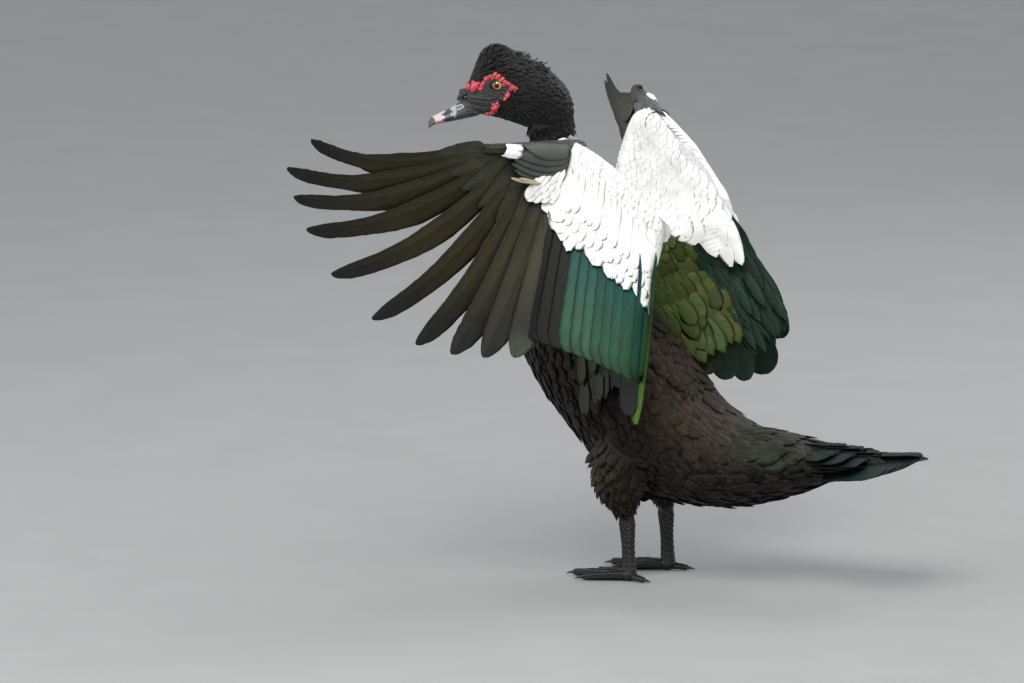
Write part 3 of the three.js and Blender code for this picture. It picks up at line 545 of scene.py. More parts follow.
def wing_geometry(pose):
    """The limb lines of one wing and the skin fold between shoulder, elbow and wrist."""
    side, S, E, W = pose["side"], pose["shoulder"], pose["elbow"], pose["wrist"]
    hand = unit(arr(*pose["hand"]))
    end = W + hand * HAND_LENGTH
    middle = fan(pose["secondaries"], 5 / 9)[0]
    fold = unit(np.cross(E - S, W - E))
    inward = fold * (-1 if fold[1] * side > 0 else 1)
    near_shoulder = lerp(S, E, 0.12)
    forward = unit(lerp(W, S, 0.5) - E)
    rim = [near_shoulder, lerp(near_shoulder, W, 0.3) + forward * 15,
           lerp(near_shoulder, W, 0.65) + forward * 24,
           W + forward * 9]
    return dict(side=side, S=S, E=E, W=W, hand=hand, end=end, inward=inward, fold=fold, rim=rim,
                forward=forward,
                lift=-middle * FOREARM_BOW, arm_line=[lerp(S, E, -0.2), S, E],
                forearm_line=[E, lerp(E, W, 0.5) - middle * FOREARM_BOW, W],
                hand_line=[W, lerp(W, end, 0.5), end])


def fold_slab(g):
    """The skin fold as a closed slab, from its free rim to the elbow."""
    rows, cols = 13, 9
    rim = catmull(g["rim"], np.linspace(0, 1, rows))
    inner = lerp(lerp(g["S"], g["E"], 0.12), g["W"], np.linspace(0, 1, rows)[:, None])
    share = np.linspace(0, 1, cols)[None, :, None]
    flat = lerp(rim[:, None, :], lerp(inner, g["E"], 0.5)[:, None, :], share)
    ring = np.concatenate([flat + g["fold"] * FOLD_HALF, flat[:, ::-1] - g["fold"] * FOLD_HALF], 1)
    return ring, rows, 2 * cols


def closed_parts():
    """Closed tubes of flesh, joined and remeshed into the one skin."""
    sides = 48
    around = circle(sides)
    parts = []
    for surface, inset, rows in ((trunk_point, SKIN_INSET, 61), (skull_point, SKULL_INSET, 31)):
        t, a = np.meshgrid(np.linspace(0, 1, rows), around, indexing="ij")
        parts.append((surface(t.ravel(), a.ravel(), inset), rows, sides))
    for pose in (LEFT, RIGHT):
        g = wing_geometry(pose)
        parts += [tube(g["arm_line"], ARM_RADII), tube(g["forearm_line"], FOREARM_RADII),
                  tube(g["hand_line"], np.array(HAND_RADII) * HAND_SKIN_SHARE)]
        parts.append(fold_slab(g))
        hip, knee, ankle = (place_leg(p, pose["side"]) for p in (HIP, KNEE, ANKLE))
        parts.append(tube([hip, knee, lerp(knee, ankle, SHIN_SHARE)], THIGH_SKIN_RADII))
    return parts


def capped(points, rows, cols):
    """Vertices and faces of a closed tube from its rings."""
    verts = np.concatenate([points.reshape(-1, 3), points.reshape(rows, cols, 3)[[0, -1]].mean(1)])
    faces = [tuple(q) for q in grid_quads(rows, cols, wrap=True).tolist()]
    top, last = rows * cols, (rows - 1) * cols
    for k in range(cols):
        faces.append((k, (k + 1) % cols, top))
        faces.append((last + (k + 1) % cols, last + k, top + 1))
    return verts, faces


def build_skin():
    """The remeshed skin and the search tree that sets the coat on it."""
    verts, faces, base = [], [], 0
    for points, rows, cols in closed_parts():
        v, f = capped(np.asarray(points), rows, cols)
        verts.append(v)
        faces += [tuple(i + base for i in face) for face in f]
        base += len(v)
    mesh = bpy.data.meshes.new("skin_parts")
    mesh.from_pydata(to_row(np.concatenate(verts)).tolist(), [], faces)
    raw = new_object("skin_parts", mesh)
    remesh = raw.modifiers.new("voxels", "REMESH")
    remesh.mode = "VOXEL"
    remesh.voxel_size = VOXEL * MM
    soften = raw.modifiers.new("soften", "SMOOTH")
    soften.iterations = 8
    soften.factor = 0.5
    done = bpy.data.meshes.new_from_object(raw.evaluated_get(bpy.context.evaluated_depsgraph_get()))
    bpy.data.objects.remove(raw)
    skin = new_object("skin", done)
    done.materials.clear()
    done.materials.append(SKIN_MAT)
    done.polygons.foreach_set("use_smooth", np.ones(len(done.polygons), bool))
    co = np.empty(len(done.vertices) * 3, np.float32)
    done.vertices.foreach_get("co", co)
    paint(done, skin_colour(co.reshape(-1, 3) / MM - SHIFT))
    return skin, BVHTree.FromObject(skin, bpy.context.evaluated_depsgraph_get())


def near_line(p, a, b):
    """Distance of points from the stretch a to b, and the share along it."""
    span = b - a
    share = np.clip(dot(p - a, span)[:, 0] / (span @ span), 0, 1)
    return np.linalg.norm(p - a - share[:, None] * span, axis=1), share


def skin_colour(p):
    """Dark skin under the dark coat, white under the white coverts."""
    base = np.full((len(p), 3), SKIN_DARK)
    for pose in (LEFT, RIGHT):
        W, E, S = pose["wrist"], pose["elbow"], pose["shoulder"]
        off = np.minimum(near_line(p, W, E)[0], near_line(p, W, lerp(S, E, 0.3))[0])
        is_wing = (off < WHITE_REACH) & (p[:, 1] * pose["side"] > WHITE_OUT) & (p[:, 2] > WHITE_ABOVE)
        base[is_wing] = SKIN_WHITE
    return base


def onto(tree, points):
    """Nearest points and normals on the skin."""
    found, normals = np.empty_like(points), np.empty_like(points)
    for i, p in enumerate(to_row(points)):
        place, normal, _, _ = tree.find_nearest(Vector(p))
        found[i], normals[i] = place, normal
    return found / MM - SHIFT, normals


# Wing surfaces
PRIMARY = dict(count=10, inner=232, outer=262, last=226, width=40, finger=(37, 18), bow=(0.02, 0.1))
SECONDARY = dict(count=11, outer=214, inner=180, width=36)
TERTIAL = dict(count=4, outer=214, inner=150, width=40)
FIRST_SECONDARY = TERTIAL["count"] - 0.5
FIRST_PRIMARY = TERTIAL["count"] + SECONDARY["count"] - 0.5
SMOOTH_END = ((0, 0.25), (0.16, 0.8), (0.45, 1))
ROLL = 0.16
FLIGHT_ROWS, FLIGHT_COLS = 44, 11


def flight_row(pose):
    """The flight feathers from the body outwards, with their frames along one shingled surface."""
    g = wing_geometry(pose)
    S, E, W, end = g["S"], g["E"], g["W"], g["end"]
    row = []
    for i in range(TERTIAL["count"] - 1, -1, -1):
        t = i / (TERTIAL["count"] - 1)
        length = lerp(TERTIAL["outer"], TERTIAL["inner"], t)
        if pose["side"] < 0 and i > 1:
            length -= 22
        width = TERTIAL["width"] * (1.35 if pose["side"] < 0 and i == 0 else 1.0)
        row.append(dict(group="tertial", t=t, root=lerp(E, S, 0.06 + 0.5 * t),
                        along=fan(pose["tertials"], t)[0],
                        length=length, lead=width * 0.45, trail=width * 0.55, bow=0.0))
    for i in range(SECONDARY["count"] - 1, -1, -1):
        t = i / (SECONDARY["count"] - 1)
        row.append(dict(group="secondary", t=t, root=lerp(W, E, 0.05 + 0.9 * t),
                        along=fan(pose["secondaries"], t)[0],
                        length=lerp(SECONDARY["outer"], SECONDARY["inner"], t), lead=SECONDARY["width"] * 0.4,
                        trail=SECONDARY["width"] * 0.6, bow=0.0))
    first = unit(arr(*pose["primaries"][0]))
    trailing = unit(first - dot(first, g["hand"]) * g["hand"])
    for i in range(PRIMARY["count"]):
        t = i / (PRIMARY["count"] - 1)
        rise = math.sin(min(t / 0.85, 1) * math.pi / 2)
        bend = math.sin(min(t / 0.6, 1) * math.pi / 2) ** 2
        last = i == PRIMARY["count"] - 1
        row.append(dict(group="primary", t=t,
                        root=lerp(W, end, 0.04 + 0.9 * t ** 1.1) + trailing * lerp(7, -2, t ** 2),
                        along=fan(pose["primaries"], t)[0], bow=lerp(*PRIMARY["bow"], bend),
                        length=PRIMARY["last"] if last else lerp(PRIMARY["inner"], PRIMARY["outer"], rise),
                        lead=PRIMARY["width"] * lerp(0.42, 0.28, t),
                        trail=PRIMARY["width"] * lerp(0.58, 0.62, t)))
    g.update(row=row, roots=np.array([f["root"] for f in row]), alongs=np.array([f["along"] for f in row]))
    return g


def wing_surface(g, q, mm):
    """Point, direction, side to the trailing edge and dorsal normal at row place q and chord distance mm."""
    q = np.asarray(q, float)
    mm = np.broadcast_to(np.asarray(mm, float), q.shape)
    n = len(g["roots"])

    def station(k):
        k = np.clip(k, 0, n - 1)
        i = np.minimum(k.astype(int), n - 2)
        w = (k - i)[:, None]
        return lerp(g["roots"][i], g["roots"][i + 1], w), unit(lerp(g["alongs"][i], g["alongs"][i + 1], w))

    root, along = station(q)
    a, da = station(q - 1.0)
    b, db = station(q + 1.0)
    reach = np.maximum(mm, 0)[:, None]
    outward = (b + db * reach) - (a + da * reach)
    outward = unit(outward - dot(outward, along) * along)
    normal = np.cross(outward, along) * -g["side"]
    return root + along * mm[:, None], along, -outward, normal


def flight_outline(f, s):
    """Share of the half width along a flight feather."""
    if f["group"] == "covert":
        u = np.clip((s - 0.5) / 0.5, 0, 1)
        return (smooth(s / 0.16) * 0.6 + 0.4) * np.maximum(0.6 * np.sqrt(1 - u ** 2) + 0.4 * (1 - u), 0.06)
    if f["group"] != "primary":
        base = smooth(s / 0.16) * 0.75 + 0.25
        tip = np.sqrt(np.clip(1 - (np.maximum(s - 0.88, 0) / 0.12) ** 2, 0, 1))
        return base * lerp(0.9, 1.0, smooth(s / 0.6)) * np.maximum(tip, 0.06)
    narrow = lerp(*PRIMARY["finger"], f["t"] ** 0.8) / PRIMARY["width"]
    keys = np.array([*SMOOTH_END, (lerp(0.8, 0.66, f["t"]), narrow * 1.06), (0.9, narrow * 0.88),
                     (1, narrow * 0.6)])
    share = np.interp(s, np.linspace(0, 1, 400),
                      np.convolve(np.pad(np.interp(np.linspace(0, 1, 400), *keys.T), 20, "edge"),
                                                             np.ones(41) / 41, "valid"))
    tip = np.clip(1 - (np.maximum(s - 0.87, 0) / 0.13) ** 2.2, 0, 1) ** 0.5
    return share * np.maximum(tip, 0.05)


def big_feather(coat, g, q, f, tint_at, where, *, start=0.0, lift=0.0, bend=0.0, thickness=0.5, roll=ROLL,
                rows=FLIGHT_ROWS, cols=FLIGHT_COLS, ragged=0.25, dip=0.0, ridge=0.9):
    """One long vane with thickness: two sheets joined round the rim, a raised shaft and a bent tip."""
    s = 1 - (1 - np.linspace(0, 1, rows)) ** 1.25
    mm = start + s * f["length"]
    centre, along, across, normal = wing_surface(g, np.full(rows, float(q)), mm)
    bow = 4 * f["bow"]
    centre = centre + across * (bow * f["length"] * s * (1 - s))[:, None]
    across = unit(across - along * (bow * (1 - 2 * s))[:, None])
    share = flight_outline(f, s)
    t = np.linspace(-1, 1, cols)
    wide = (np.where(t[None, :] < 0, f["lead"], f["trail"]) * share[:, None] * np.abs(t)[None, :]
            * np.sign(t)[None, :])
    wide = (wide + RNG.normal(0, ragged, wide.shape) * (np.abs(t)[None, :] > 0.95)
            * smooth((s[:, None] - 0.2) / 0.2))
    side = across * math.cos(roll) - normal * math.sin(roll)
    top = normal * math.cos(roll) + across * math.sin(roll)
    rise = lift * (1 - dip * smooth((s - 0.4) / 0.6)) - bend * s ** 2 * f["length"]
    mid = centre + normal * rise[:, None]
    camber = -0.07 * (np.abs(t) ** 1.6)[None, :] * np.abs(wide).max(1)[:, None]
    shaft = np.exp(-(t / 0.1) ** 2)[None, :] * lerp(ridge, ridge * 0.3, s)[:, None]
    flat = mid[:, None, :] + side[:, None, :] * wide[..., None]
    upper = flat + top[:, None, :] * (camber + shaft + thickness / 2)[..., None]
    lower = flat + top[:, None, :] * (camber - thickness / 2 - shaft * 0.5)[..., None]
    verts = np.concatenate([upper.reshape(-1, 3), lower.reshape(-1, 3)])
    per = rows * cols
    up = grid_quads(rows, cols)
    down = grid_quads(rows, cols)[:, ::-1] + per
    rim = np.concatenate([np.arange(cols), np.arange(1, rows) * cols + cols - 1,
                          (rows - 1) * cols + np.arange(cols - 2, -1, -1), np.arange(rows - 2, 0, -1) * cols])
    nxt = np.roll(rim, -1)
    wall = np.stack([rim, nxt, nxt + per, rim + per], -1)
    ss, tt = np.meshgrid(s, t, indexing="ij")
    colour = tint_at(ss.ravel(), tt.ravel())
    vane = np.stack([tt.ravel(), ss.ravel()], -1)
    patch = np.asarray(where).reshape(1, 2) + np.stack([tt.ravel(), 2 * ss.ravel() - 1], -1) * PATCH_HALF
    quads = np.concatenate([up, down, wall])
    soft = np.arange(len(quads)) < len(up) + len(down)
    coat.add(verts, quads, np.concatenate([colour, colour * 0.8]), np.concatenate([vane, vane]),
             np.concatenate([patch, patch]), soft)


# Flight feather colours
DUSK = arr(0.034, 0.030, 0.014)
SOOT = arr(0.007, 0.007, 0.0068)
SLATE = arr(0.044, 0.050, 0.046)
TEAL = arr(0.020, 0.125, 0.115)
SEA = arr(0.034, 0.130, 0.080)
LEAF = arr(0.024, 0.075, 0.022)
LIME = arr(0.085, 0.200, 0.012)
BOTTLE = arr(0.0045, 0.022, 0.013)
# BOTTLE_PAINTED_SHEEN is a lighter green painted down the middle of the far wing's bottle-green feathers:
# painted sheen.
BOTTLE_PAINTED_SHEEN, BOTTLE_TERTIAL = arr(0.006, 0.045, 0.022), arr(0.020, 0.032, 0.008)
PALE_VANE, DARK_TIP, GREEN_TIP = arr(0.05, 0.035, 0.018), arr(0.014, 0.0145, 0.0135), arr(0.05, 0.075, 0.04)
PLAIN_DARK, PLAIN_PALE = arr(0.0060, 0.0075, 0.0050), arr(0.011, 0.015, 0.009)


def primary_tint(place, jitter, far):
    def tint_at(s, t):
        base = DUSK * lerp(1.1, 0.95, place) * jitter * (1.5 if far else 1.0)
        pale = smooth((t - 0.15) / 0.6) * smooth((0.75 - s) / 0.3)
        return mixed(base, (PALE_VANE, pale * 0.45),
                     (DARK_TIP, smooth((s - 0.55) / 0.35) * 0.85),
                     (SOOT, smooth((-t - 0.6) / 0.35) * 0.7), (SOOT, smooth((t - 0.9) / 0.1) * 0.4),
                     (SOOT, np.exp(-((t + 0.02) / 0.08) ** 2) * 0.4),
                     (GREEN_TIP, smooth((s - 0.82) / 0.15) * (0.6 if place < 0.05 else 0.0)))
    return tint_at


def green_tint(group, place, jitter, hue):
    def tint_at(s, t):
        core = mixed(lerp(TEAL, LEAF, hue) * jitter,
                     (lerp(SEA, LEAF, hue) * jitter, smooth((s - 0.45) / 0.3)),
                     (LEAF * 0.9, smooth((s - 0.84) / 0.16) * 0.7))
        if group == "tertial":
            core = mixed(LEAF * jitter, (LIME * jitter,
                                         smooth((s - 0.4) / 0.3) * (0.95 if place < 0.2 else 0.4)))
            core = mixed(core, (SOOT * 0.8, np.full(len(s), 0.0 if place < 0.2 else 0.96)))
        green = smooth((place - 0.2) / 0.1) if group == "secondary" else 1.0
        plain = mixed(PLAIN_DARK * jitter, (PLAIN_PALE, smooth((t - 0.1) / 0.6) * 0.4),
                      (SOOT, smooth((s - 0.75) / 0.25) * 0.5))
        out = lerp(plain, core, green)
        out = out * (0.72 if group == "secondary" else 1.0)
        return mixed(out, (SOOT, smooth((t - 0.5) / 0.45) * 0.7), (SOOT, smooth((-t - 0.6) / 0.4) * 0.6),
                     (SOOT, np.exp(-((t + 0.02) / 0.07) ** 2) * 0.25))
    return tint_at


def bottle_tint(group, jitter):
    def tint_at(s, t):
        # Painted sheen: a lighter green down the middle of each vane.
        core = mixed(BOTTLE * jitter, (BOTTLE_PAINTED_SHEEN, smooth((s - 0.2) / 0.3) * smooth((0.8 - s) / 0.3)),
                     (SOOT, smooth((s - 0.75) / 0.25) * 0.7))
        if group == "tertial":
            core = mixed(BOTTLE_TERTIAL * jitter, (BOTTLE * 1.2, smooth((s - 0.5) / 0.4) * 0.8))
        return mixed(core, (SOOT, smooth((np.abs(t) - 0.75) / 0.25) * 0.7))
    return tint_at


def flight_tint(pose, f):
    jitter = RNG.uniform(0.88, 1.12)
    if f["group"] == "primary":
        return primary_tint(f["t"], jitter, pose["side"] > 0)
    if pose["side"] < 0:
        return green_tint(f["group"], f["t"], jitter,
                          RNG.uniform(0, 0.35) if f["group"] == "secondary" else 1.0)
    return bottle_tint(f["group"], jitter)


WING_U = {-1: 0.52, 1: 0.76}


def wing_patch(pose, q, n, mm):
    """Place on the wing's own unwrap: across the row and along the chord."""
    u = WING_U[pose["side"]] + 0.22 * np.clip((np.asarray(q, float) + 1) / (n + 1), 0, 1)
    return np.stack([u, 0.55 + 0.4 * np.clip((np.asarray(mm, float) + 40) / 300, 0, 1) + 0 * u], -1)


def build_flight(pose, name):
    g = flight_row(pose)
    n = len(g["row"])
    hand, arm = Coat(), Coat()
    for q, f in enumerate(g["row"]):
        is_primary = f["group"] == "primary"
        big_feather(hand if is_primary else arm, g, q, f, flight_tint(pose, f), wing_patch(pose, q, n, 100),
                    bend=0.0 if is_primary else 0.03)
    hand.build(f"primaries_{name}", FLIGHT_MAT, "flight_feathers", f"hand_{name}")
    arm.build(f"secondaries_{name}", GLOSS_MAT, "green_feathers", f"forearm_{name}", f"upper_arm_{name}")


# Wing coverts
SNOW = arr(0.86, 0.86, 0.84)
CREAM = arr(0.50, 0.42, 0.30)
COVERT_GREY = arr(0.036, 0.037, 0.023)
OLIVE = arr(0.052, 0.062, 0.010)
MOSS = arr(0.034, 0.072, 0.014)
COVERT_SHAFT = arr(0.06, 0.06, 0.045)
OLIVE_DARK = arr(0.014, 0.013, 0.009)
BOTTLE_EDGE = arr(0.010, 0.048, 0.014)
HUMP = ((0, 22), (FIRST_SECONDARY, 15), ((FIRST_SECONDARY + FIRST_PRIMARY) / 2, 18), (FIRST_PRIMARY, 12.5),
        (FIRST_PRIMARY + 1, 10.5), (FIRST_PRIMARY + 9, 4))


def cover_point(g, q, mm, face):
    """Point on the fleshed wing: round the limb at the leading edge, thinning to the vanes behind."""
    r = np.interp(q, *np.array(HUMP).T)
    mm = np.broadcast_to(np.asarray(mm, float), r.shape)
    x = np.clip(mm, -r * 0.97, None)
    share = np.clip((np.asarray(q) - FIRST_SECONDARY) / (FIRST_PRIMARY - FIRST_SECONDARY), 0, 1)
    point, _, _, normal = wing_surface(g, q, x)
    h = np.where(x < 0, np.sqrt(np.maximum(r * r - x * x, 0)),
                 lerp(r, 3.2, smooth(x / (62 if face > 0 else 48))))
    bulge = g["lift"] * (4 * share * (1 - share) * (1 - smooth(x / 60)))[:, None]
    return point + bulge + face * normal * h[:, None]


def cover_frame(g, q, mm, face):
    a, b = cover_point(g, q, mm - 1.5, face), cover_point(g, q, mm + 1.5, face)
    side = cover_point(g, q + 0.2, mm, face) - cover_point(g, q - 0.2, mm, face)
    along = unit(b - a)
    normal = unit(np.cross(side, along)) * -g["side"] * face
    return cover_point(g, q, mm, face), along, normal


def row_places(g, mm, face, start, stop, gap):
    """Row places spaced about gap mm apart along one chord line."""
    q = np.linspace(start, stop, 60)
    p = cover_point(g, q, np.full(60, float(mm)), face)
    run = run_length(p)
    count = max(2, int(run[-1] / gap))
    return np.interp((np.arange(count) + RNG.uniform(0.3, 0.7)) / count * run[-1], run, q)


def laid_rows(coat, g, pose, face, start, stop, rows, colour, edge, *, spread=0.03, **kw):
    """Smooth overlapping rows on the fleshed wing: (chord mm, length, width, gap, base height) each."""
    n = len(g["row"])

    def place(uv):
        p, _, normal = cover_frame(g, uv[:, 0], uv[:, 1], face)
        return p, normal

    for mm, length, width, gap, low in rows:
        q = row_places(g, mm, face, start, stop, gap)
        k = len(q)
        q = q + RNG.normal(0, 0.04, k)
        at = mm + RNG.normal(0, gap * 0.12, k)
        middle = at + length / 2
        step = np.linalg.norm(cover_point(g, q + 0.25, middle, face)
                              - cover_point(g, q - 0.25, middle, face), axis=1) * 2
        laid(coat, place, np.stack([q, at], -1), length * RNG.uniform(0.94, 1.06, k), width / 2 / step,
             RNG.normal(0, 0.05, k) / step, shade(k, colour, spread), shade(k, edge, spread),
             wing_patch(pose, q, n, at), low=low, high=low + 0.9, **kw)


# The alula's feathers: chord mm, length, width, base height
ALULA = ((25, 54, 17, 4.5), (18, 62, 18, 5.1), (11, 66, 18, 5.7), (4, 68, 17, 6.3), (-3, 64, 15, 6.9))
SLEEVE_ROWS, SLEEVE_STEP, SLEEVE_TURN = 17, 7.0, 1.9


def hand_sleeve(coat, g, pose):
    """Small feathers round the hand's leading edge, the alula over them, and the function that placed it."""
    n = len(g["row"])
    far = pose["side"] > 0
    first = unit(arr(*pose["primaries"][0]))
    lead = -unit(first - dot(first, g["hand"]) * g["hand"])
    normal = np.cross(g["hand"], lead)
    normal = normal * (1 if dot(normal, wing_surface(g, np.array([FIRST_PRIMARY + 3.0]),
                                                     0.0)[3][0])[0] > 0 else -1)
    start = g["W"] - g["hand"] * 4 - lead * 1.0

    def place(uv):
        r = np.interp(uv[:, 1], (-16, 0, 30, 70, 130), (14.0, 13.0, 11.0, 8.5, 5.0))[:, None]
        a = uv[:, :1]
        out = np.cos(a) * lead + np.sin(a) * normal
        return start + uv[:, 1:] * g["hand"] + out * r, out

    pale = 1.3 if far else 1.0
    for row in range(SLEEVE_ROWS):
        v = -12 + row * SLEEVE_STEP
        r = float(np.interp(v, (-16, 130), (13, 5)))
        count = max(6, int(2 * SLEEVE_TURN * r / 5.0))
        a = np.linspace(-SLEEVE_TURN, SLEEVE_TURN, count) + RNG.normal(0, 0.05, count)
        at = v + RNG.normal(0, 1.2, count)
        tint = shade(count, lerp(SLATE * 1.4, COVERT_GREY, smooth((v - 55) / 30)) * pale * 0.9, 0.14)
        where = wing_patch(pose, np.full(count, FIRST_PRIMARY + 1.0 + row * 0.4), n, 10 + a * 8)
        laid(coat, place, np.stack([a, at], -1), 25.0, 5.2 / r, 0.0, tint, tint * 0.6, where, nu=6, nv=3,
             low=-0.6, high=0.4,
             roll=0.15)

    def hand_place(uv, face=1):
        p, _, out = cover_frame(g, FIRST_PRIMARY + 0.2 + uv[:, 1] / 11.0, uv[:, 0], face)
        return p, out

    for face in (1, -1):
        for i, (chord, length, width, low) in enumerate(ALULA):
            tint = SLATE[None] * RNG.uniform(1.5, 1.8) * pale
            where = wing_patch(pose, np.array([FIRST_PRIMARY + 1.0]), n, -12.0 - i * 5.0)
            laid(coat, lambda uv, face=face: hand_place(uv, face), np.array([[chord, -3.0]]), length,
                 width / 2, -0.06, tint,
                 tint * 0.5, where, nu=18, nv=9, low=low, high=low + 0.8, roll=0.3, tip=0.5, point=0.3)
    return hand_place


def primary_coverts(coat, g, pose):
    """Two tiers of long dark coverts over the primaries, then the hand's sleeve, whose placing it returns."""
    n = len(g["row"])
    far = pose["side"] > 0
    for tier, (length, width, lift) in enumerate(((96, 24, 1.9), (66, 20, 2.8))):
        for i in range(9):
            q = FIRST_PRIMARY + 0.5 + i + (0.25 if tier else 0)
            f = dict(group="covert", t=0.5, length=length * lerp(1.0, 0.72, i / 8), lead=width * 0.45,
                     trail=width * 0.55, bow=0.02)
            jitter = RNG.uniform(0.85, 1.15) * (1.6 if far else 1.0)

            def tint_at(s, t, jitter=jitter):
                return mixed(COVERT_GREY * jitter, (SOOT, smooth((t - 0.55) / 0.4) * 0.7),
                             (SOOT, smooth((-t - 0.7) / 0.3) * 0.6),
                             (SOOT, smooth((s - 0.9) / 0.1) * 0.5),
                             (COVERT_SHAFT, np.exp(-(t / 0.09) ** 2) * 0.4))
            for face in (1, -1):
                big_feather(coat, g, min(q, n - 1.02), f, tint_at, wing_patch(pose, q, n, 20),
                            lift=lift * face,
                            dip=0.8, rows=22, cols=9, roll=ROLL * 0.75, ridge=0.35)
    return hand_sleeve(coat, g, pose)


# Rows of white coverts: chord mm, length, width, gap, base height
GREATER = ((18, 76, 27, 9, 0.4), (14, 66, 25, 9, 0.9), (10, 52, 23, 8.5, 1.3))
LESSER = ((38, 31, 18, 8, 0.2), (31, 30, 17, 7.5, 0.3), (24, 29, 16, 7, 0.4), (17, 27, 15, 6.8, 0.5),
          (10, 26, 14, 6.4, 0.6),
          (3, 25, 13, 6, 0.6), (-4, 23, 12.5, 5.8, 0.5), (-9, 21, 12, 5.6, 0.4), (-13, 19, 11, 5.4, 0.3),
          (-17, 18, 11, 5.2, 0.2))

INNER_GREATER = ((14, 58, 25, 11, 0.4), (8, 46, 22, 9, 0.9))
TUFT = ((30, 26, 16, 7, 4.5), (23, 26, 15, 6.5, 4.8), (16, 25, 14, 6.5, 5.0), (9, 24, 14, 6, 5.0),
        (2, 22, 13, 6, 4.5))
WHITE_SPOT = [(u, v) for v in (62, 67) for u in (-8, -4, 0, 4)]
CREAM_STRIP = [(31, 25), (29, 30), (32, 35)]


def build_coverts(pose, name):
    g = flight_row(pose)
    n = len(g["row"])
    first, last = FIRST_SECONDARY + 0.2, FIRST_PRIMARY - 0.1
    white, dark = Coat(), Coat()
    sleeve = primary_coverts(dark, g, pose)
    low = first - (1.4 if pose["side"] < 0 else 0.6)
    laid_rows(white, g, pose, 1, low, last + 0.4, GREATER, SNOW, SNOW * 0.97)
    laid_rows(white, g, pose, 1, low - 0.3, last + (0.9 if pose["side"] < 0 else 0.0), LESSER, SNOW,
              SNOW * 0.98)
    laid_rows(white, g, pose, -1, low, last, INNER_GREATER, SNOW, SNOW * 0.97)
    laid_rows(white, g, pose, -1, low, last + 0.5, LESSER, SNOW, SNOW * 0.98)
    if pose["side"] < 0:
        laid_rows(white, g, pose, 1, last + 0.4, last + 3.0, TUFT, SNOW, SNOW * 0.98)
    for colour, places, length, half in ((SNOW, WHITE_SPOT, 12.0, 3.2), (CREAM, CREAM_STRIP, 15.0, 2.4)):
        grid = np.array(places, float)
        k = len(grid)
        laid(white, sleeve, grid, length, half, 0.0, shade(k, colour, 0.03), shade(k, colour, 0.03),
             wing_patch(pose, FIRST_PRIMARY + grid[:, 1] / 15, n, grid[:, 0]), nu=6, nv=3, low=7.5, high=8.2,
             roll=0.1)
    white.build(f"white_coverts_{name}", WHITE_MAT, "white_feathers", f"forearm_{name}")
    dark.build(f"primary_coverts_{name}", FLIGHT_MAT, "flight_feathers", f"hand_{name}")


class Fold:
    """The skin fold between shoulder, elbow and wrist as a puffed sheet with two faces."""

    def __init__(self, pose):
        self.g = g = wing_geometry(pose)
        self.e1 = unit(g["E"] - g["W"])
        to_shoulder = g["S"] - g["W"]
        self.e2 = unit(to_shoulder - dot(to_shoulder, self.e1) * self.e1)
        self.span = float(np.linalg.norm(g["E"] - g["W"]))
        self.shoulder = arr(float(to_shoulder @ self.e1), float(to_shoulder @ self.e2))
        self.elbow = arr(self.span, 0)
        rim = [g["W"] - self.e1 * 12 + g["forward"] * 4, g["W"] - self.e1 * 4 + g["forward"] * 20,
               lerp(g["W"], g["S"], 0.15) + g["forward"] * 29, lerp(g["W"], g["S"], 0.4) + g["forward"] * 29,
               lerp(g["W"], g["S"], 0.7) + g["forward"] * 20, g["S"] + g["forward"] * 6]
        self.rim = np.stack([self.flat(p) for p in catmull(rim, np.linspace(0, 1, 40))])

    def flat(self, p):
        q = p - self.g["W"]
        return arr(float(q @ self.e1), float(q @ self.e2))

    def arm_distance(self, ab):
        """Signed distance from the humerus line, positive above it, and the share from shoulder to elbow."""
        line = self.elbow - self.shoulder
        length = np.linalg.norm(line)
        along = ((ab - self.shoulder) @ line) / length ** 2
        out = arr(-line[1], line[0]) / length
        if (self.flat(self.g["W"]) - self.shoulder) @ out < 0:
            out = -out
        return (ab - self.shoulder) @ out, along

    def rim_distance(self, ab):
        return np.min(np.linalg.norm(ab[:, None, :] - self.rim[None], axis=2), axis=1)

    def rim_depth(self, ab):
        """Distance from the free rim, nothing outside it."""
        gap = ab[:, None, :] - self.rim[None]
        near = np.argmin(np.linalg.norm(gap, axis=2), axis=1)
        run = np.gradient(self.rim, axis=0)[near]
        inward = unit(np.stack([-run[:, 1], run[:, 0]], -1))
        inward = inward * np.sign(dot(inward, self.elbow - self.rim[near]))
        depth = dot(gap[np.arange(len(ab)), near], inward)[:, 0]
        inner = (near > 0) & (near < len(self.rim) - 1)
        return np.where(inner, np.maximum(depth, 0), self.rim_distance(ab))

    def height(self, ab):
        """Half thickness of the sheet with its coat."""
        share = np.clip(ab[:, 0] / self.span, 0, 1)
        bow = -FOREARM_BOW * 4 * share * (1 - share) * 0.6
        forearm = 13 * np.exp(-((ab[:, 1] - bow) / 27) ** 2)
        arm = 15 * np.exp(-(self.arm_distance(ab)[0] / 26) ** 2)
        near = np.clip(self.rim_depth(ab) / 16, 0, 1)
        beyond = np.clip(-ab[:, 1] / 15, 0, 1)
        return (5.0 + np.maximum(forearm, arm)) * np.sqrt(1 - (1 - near) ** 2) * np.sqrt(1 - beyond ** 2)

    def place(self, ab, face):
        h = self.height(ab)
        e = 0.8
        slope_a = (self.height(ab + arr(e, 0)) - self.height(ab - arr(e, 0))) / (2 * e)
        slope_b = (self.height(ab + arr(0, e)) - self.height(ab - arr(0, e))) / (2 * e)
        up = self.g["fold"] * face
        p = self.g["W"] + ab[:, :1] * self.e1 + ab[:, 1:] * self.e2 + h[:, None] * up
        normal = unit(up - slope_a[:, None] * self.e1 - slope_b[:, None] * self.e2)
        return p, normal


LONG_WHITES = ((0.72, 22, 34), (0.80, 22, 46), (0.88, 22, 56), (0.96, 20, 64), (0.76, 8, 30), (0.84, 8, 54),
               (0.92, 6, 72),
               (1.00, 6, 78))


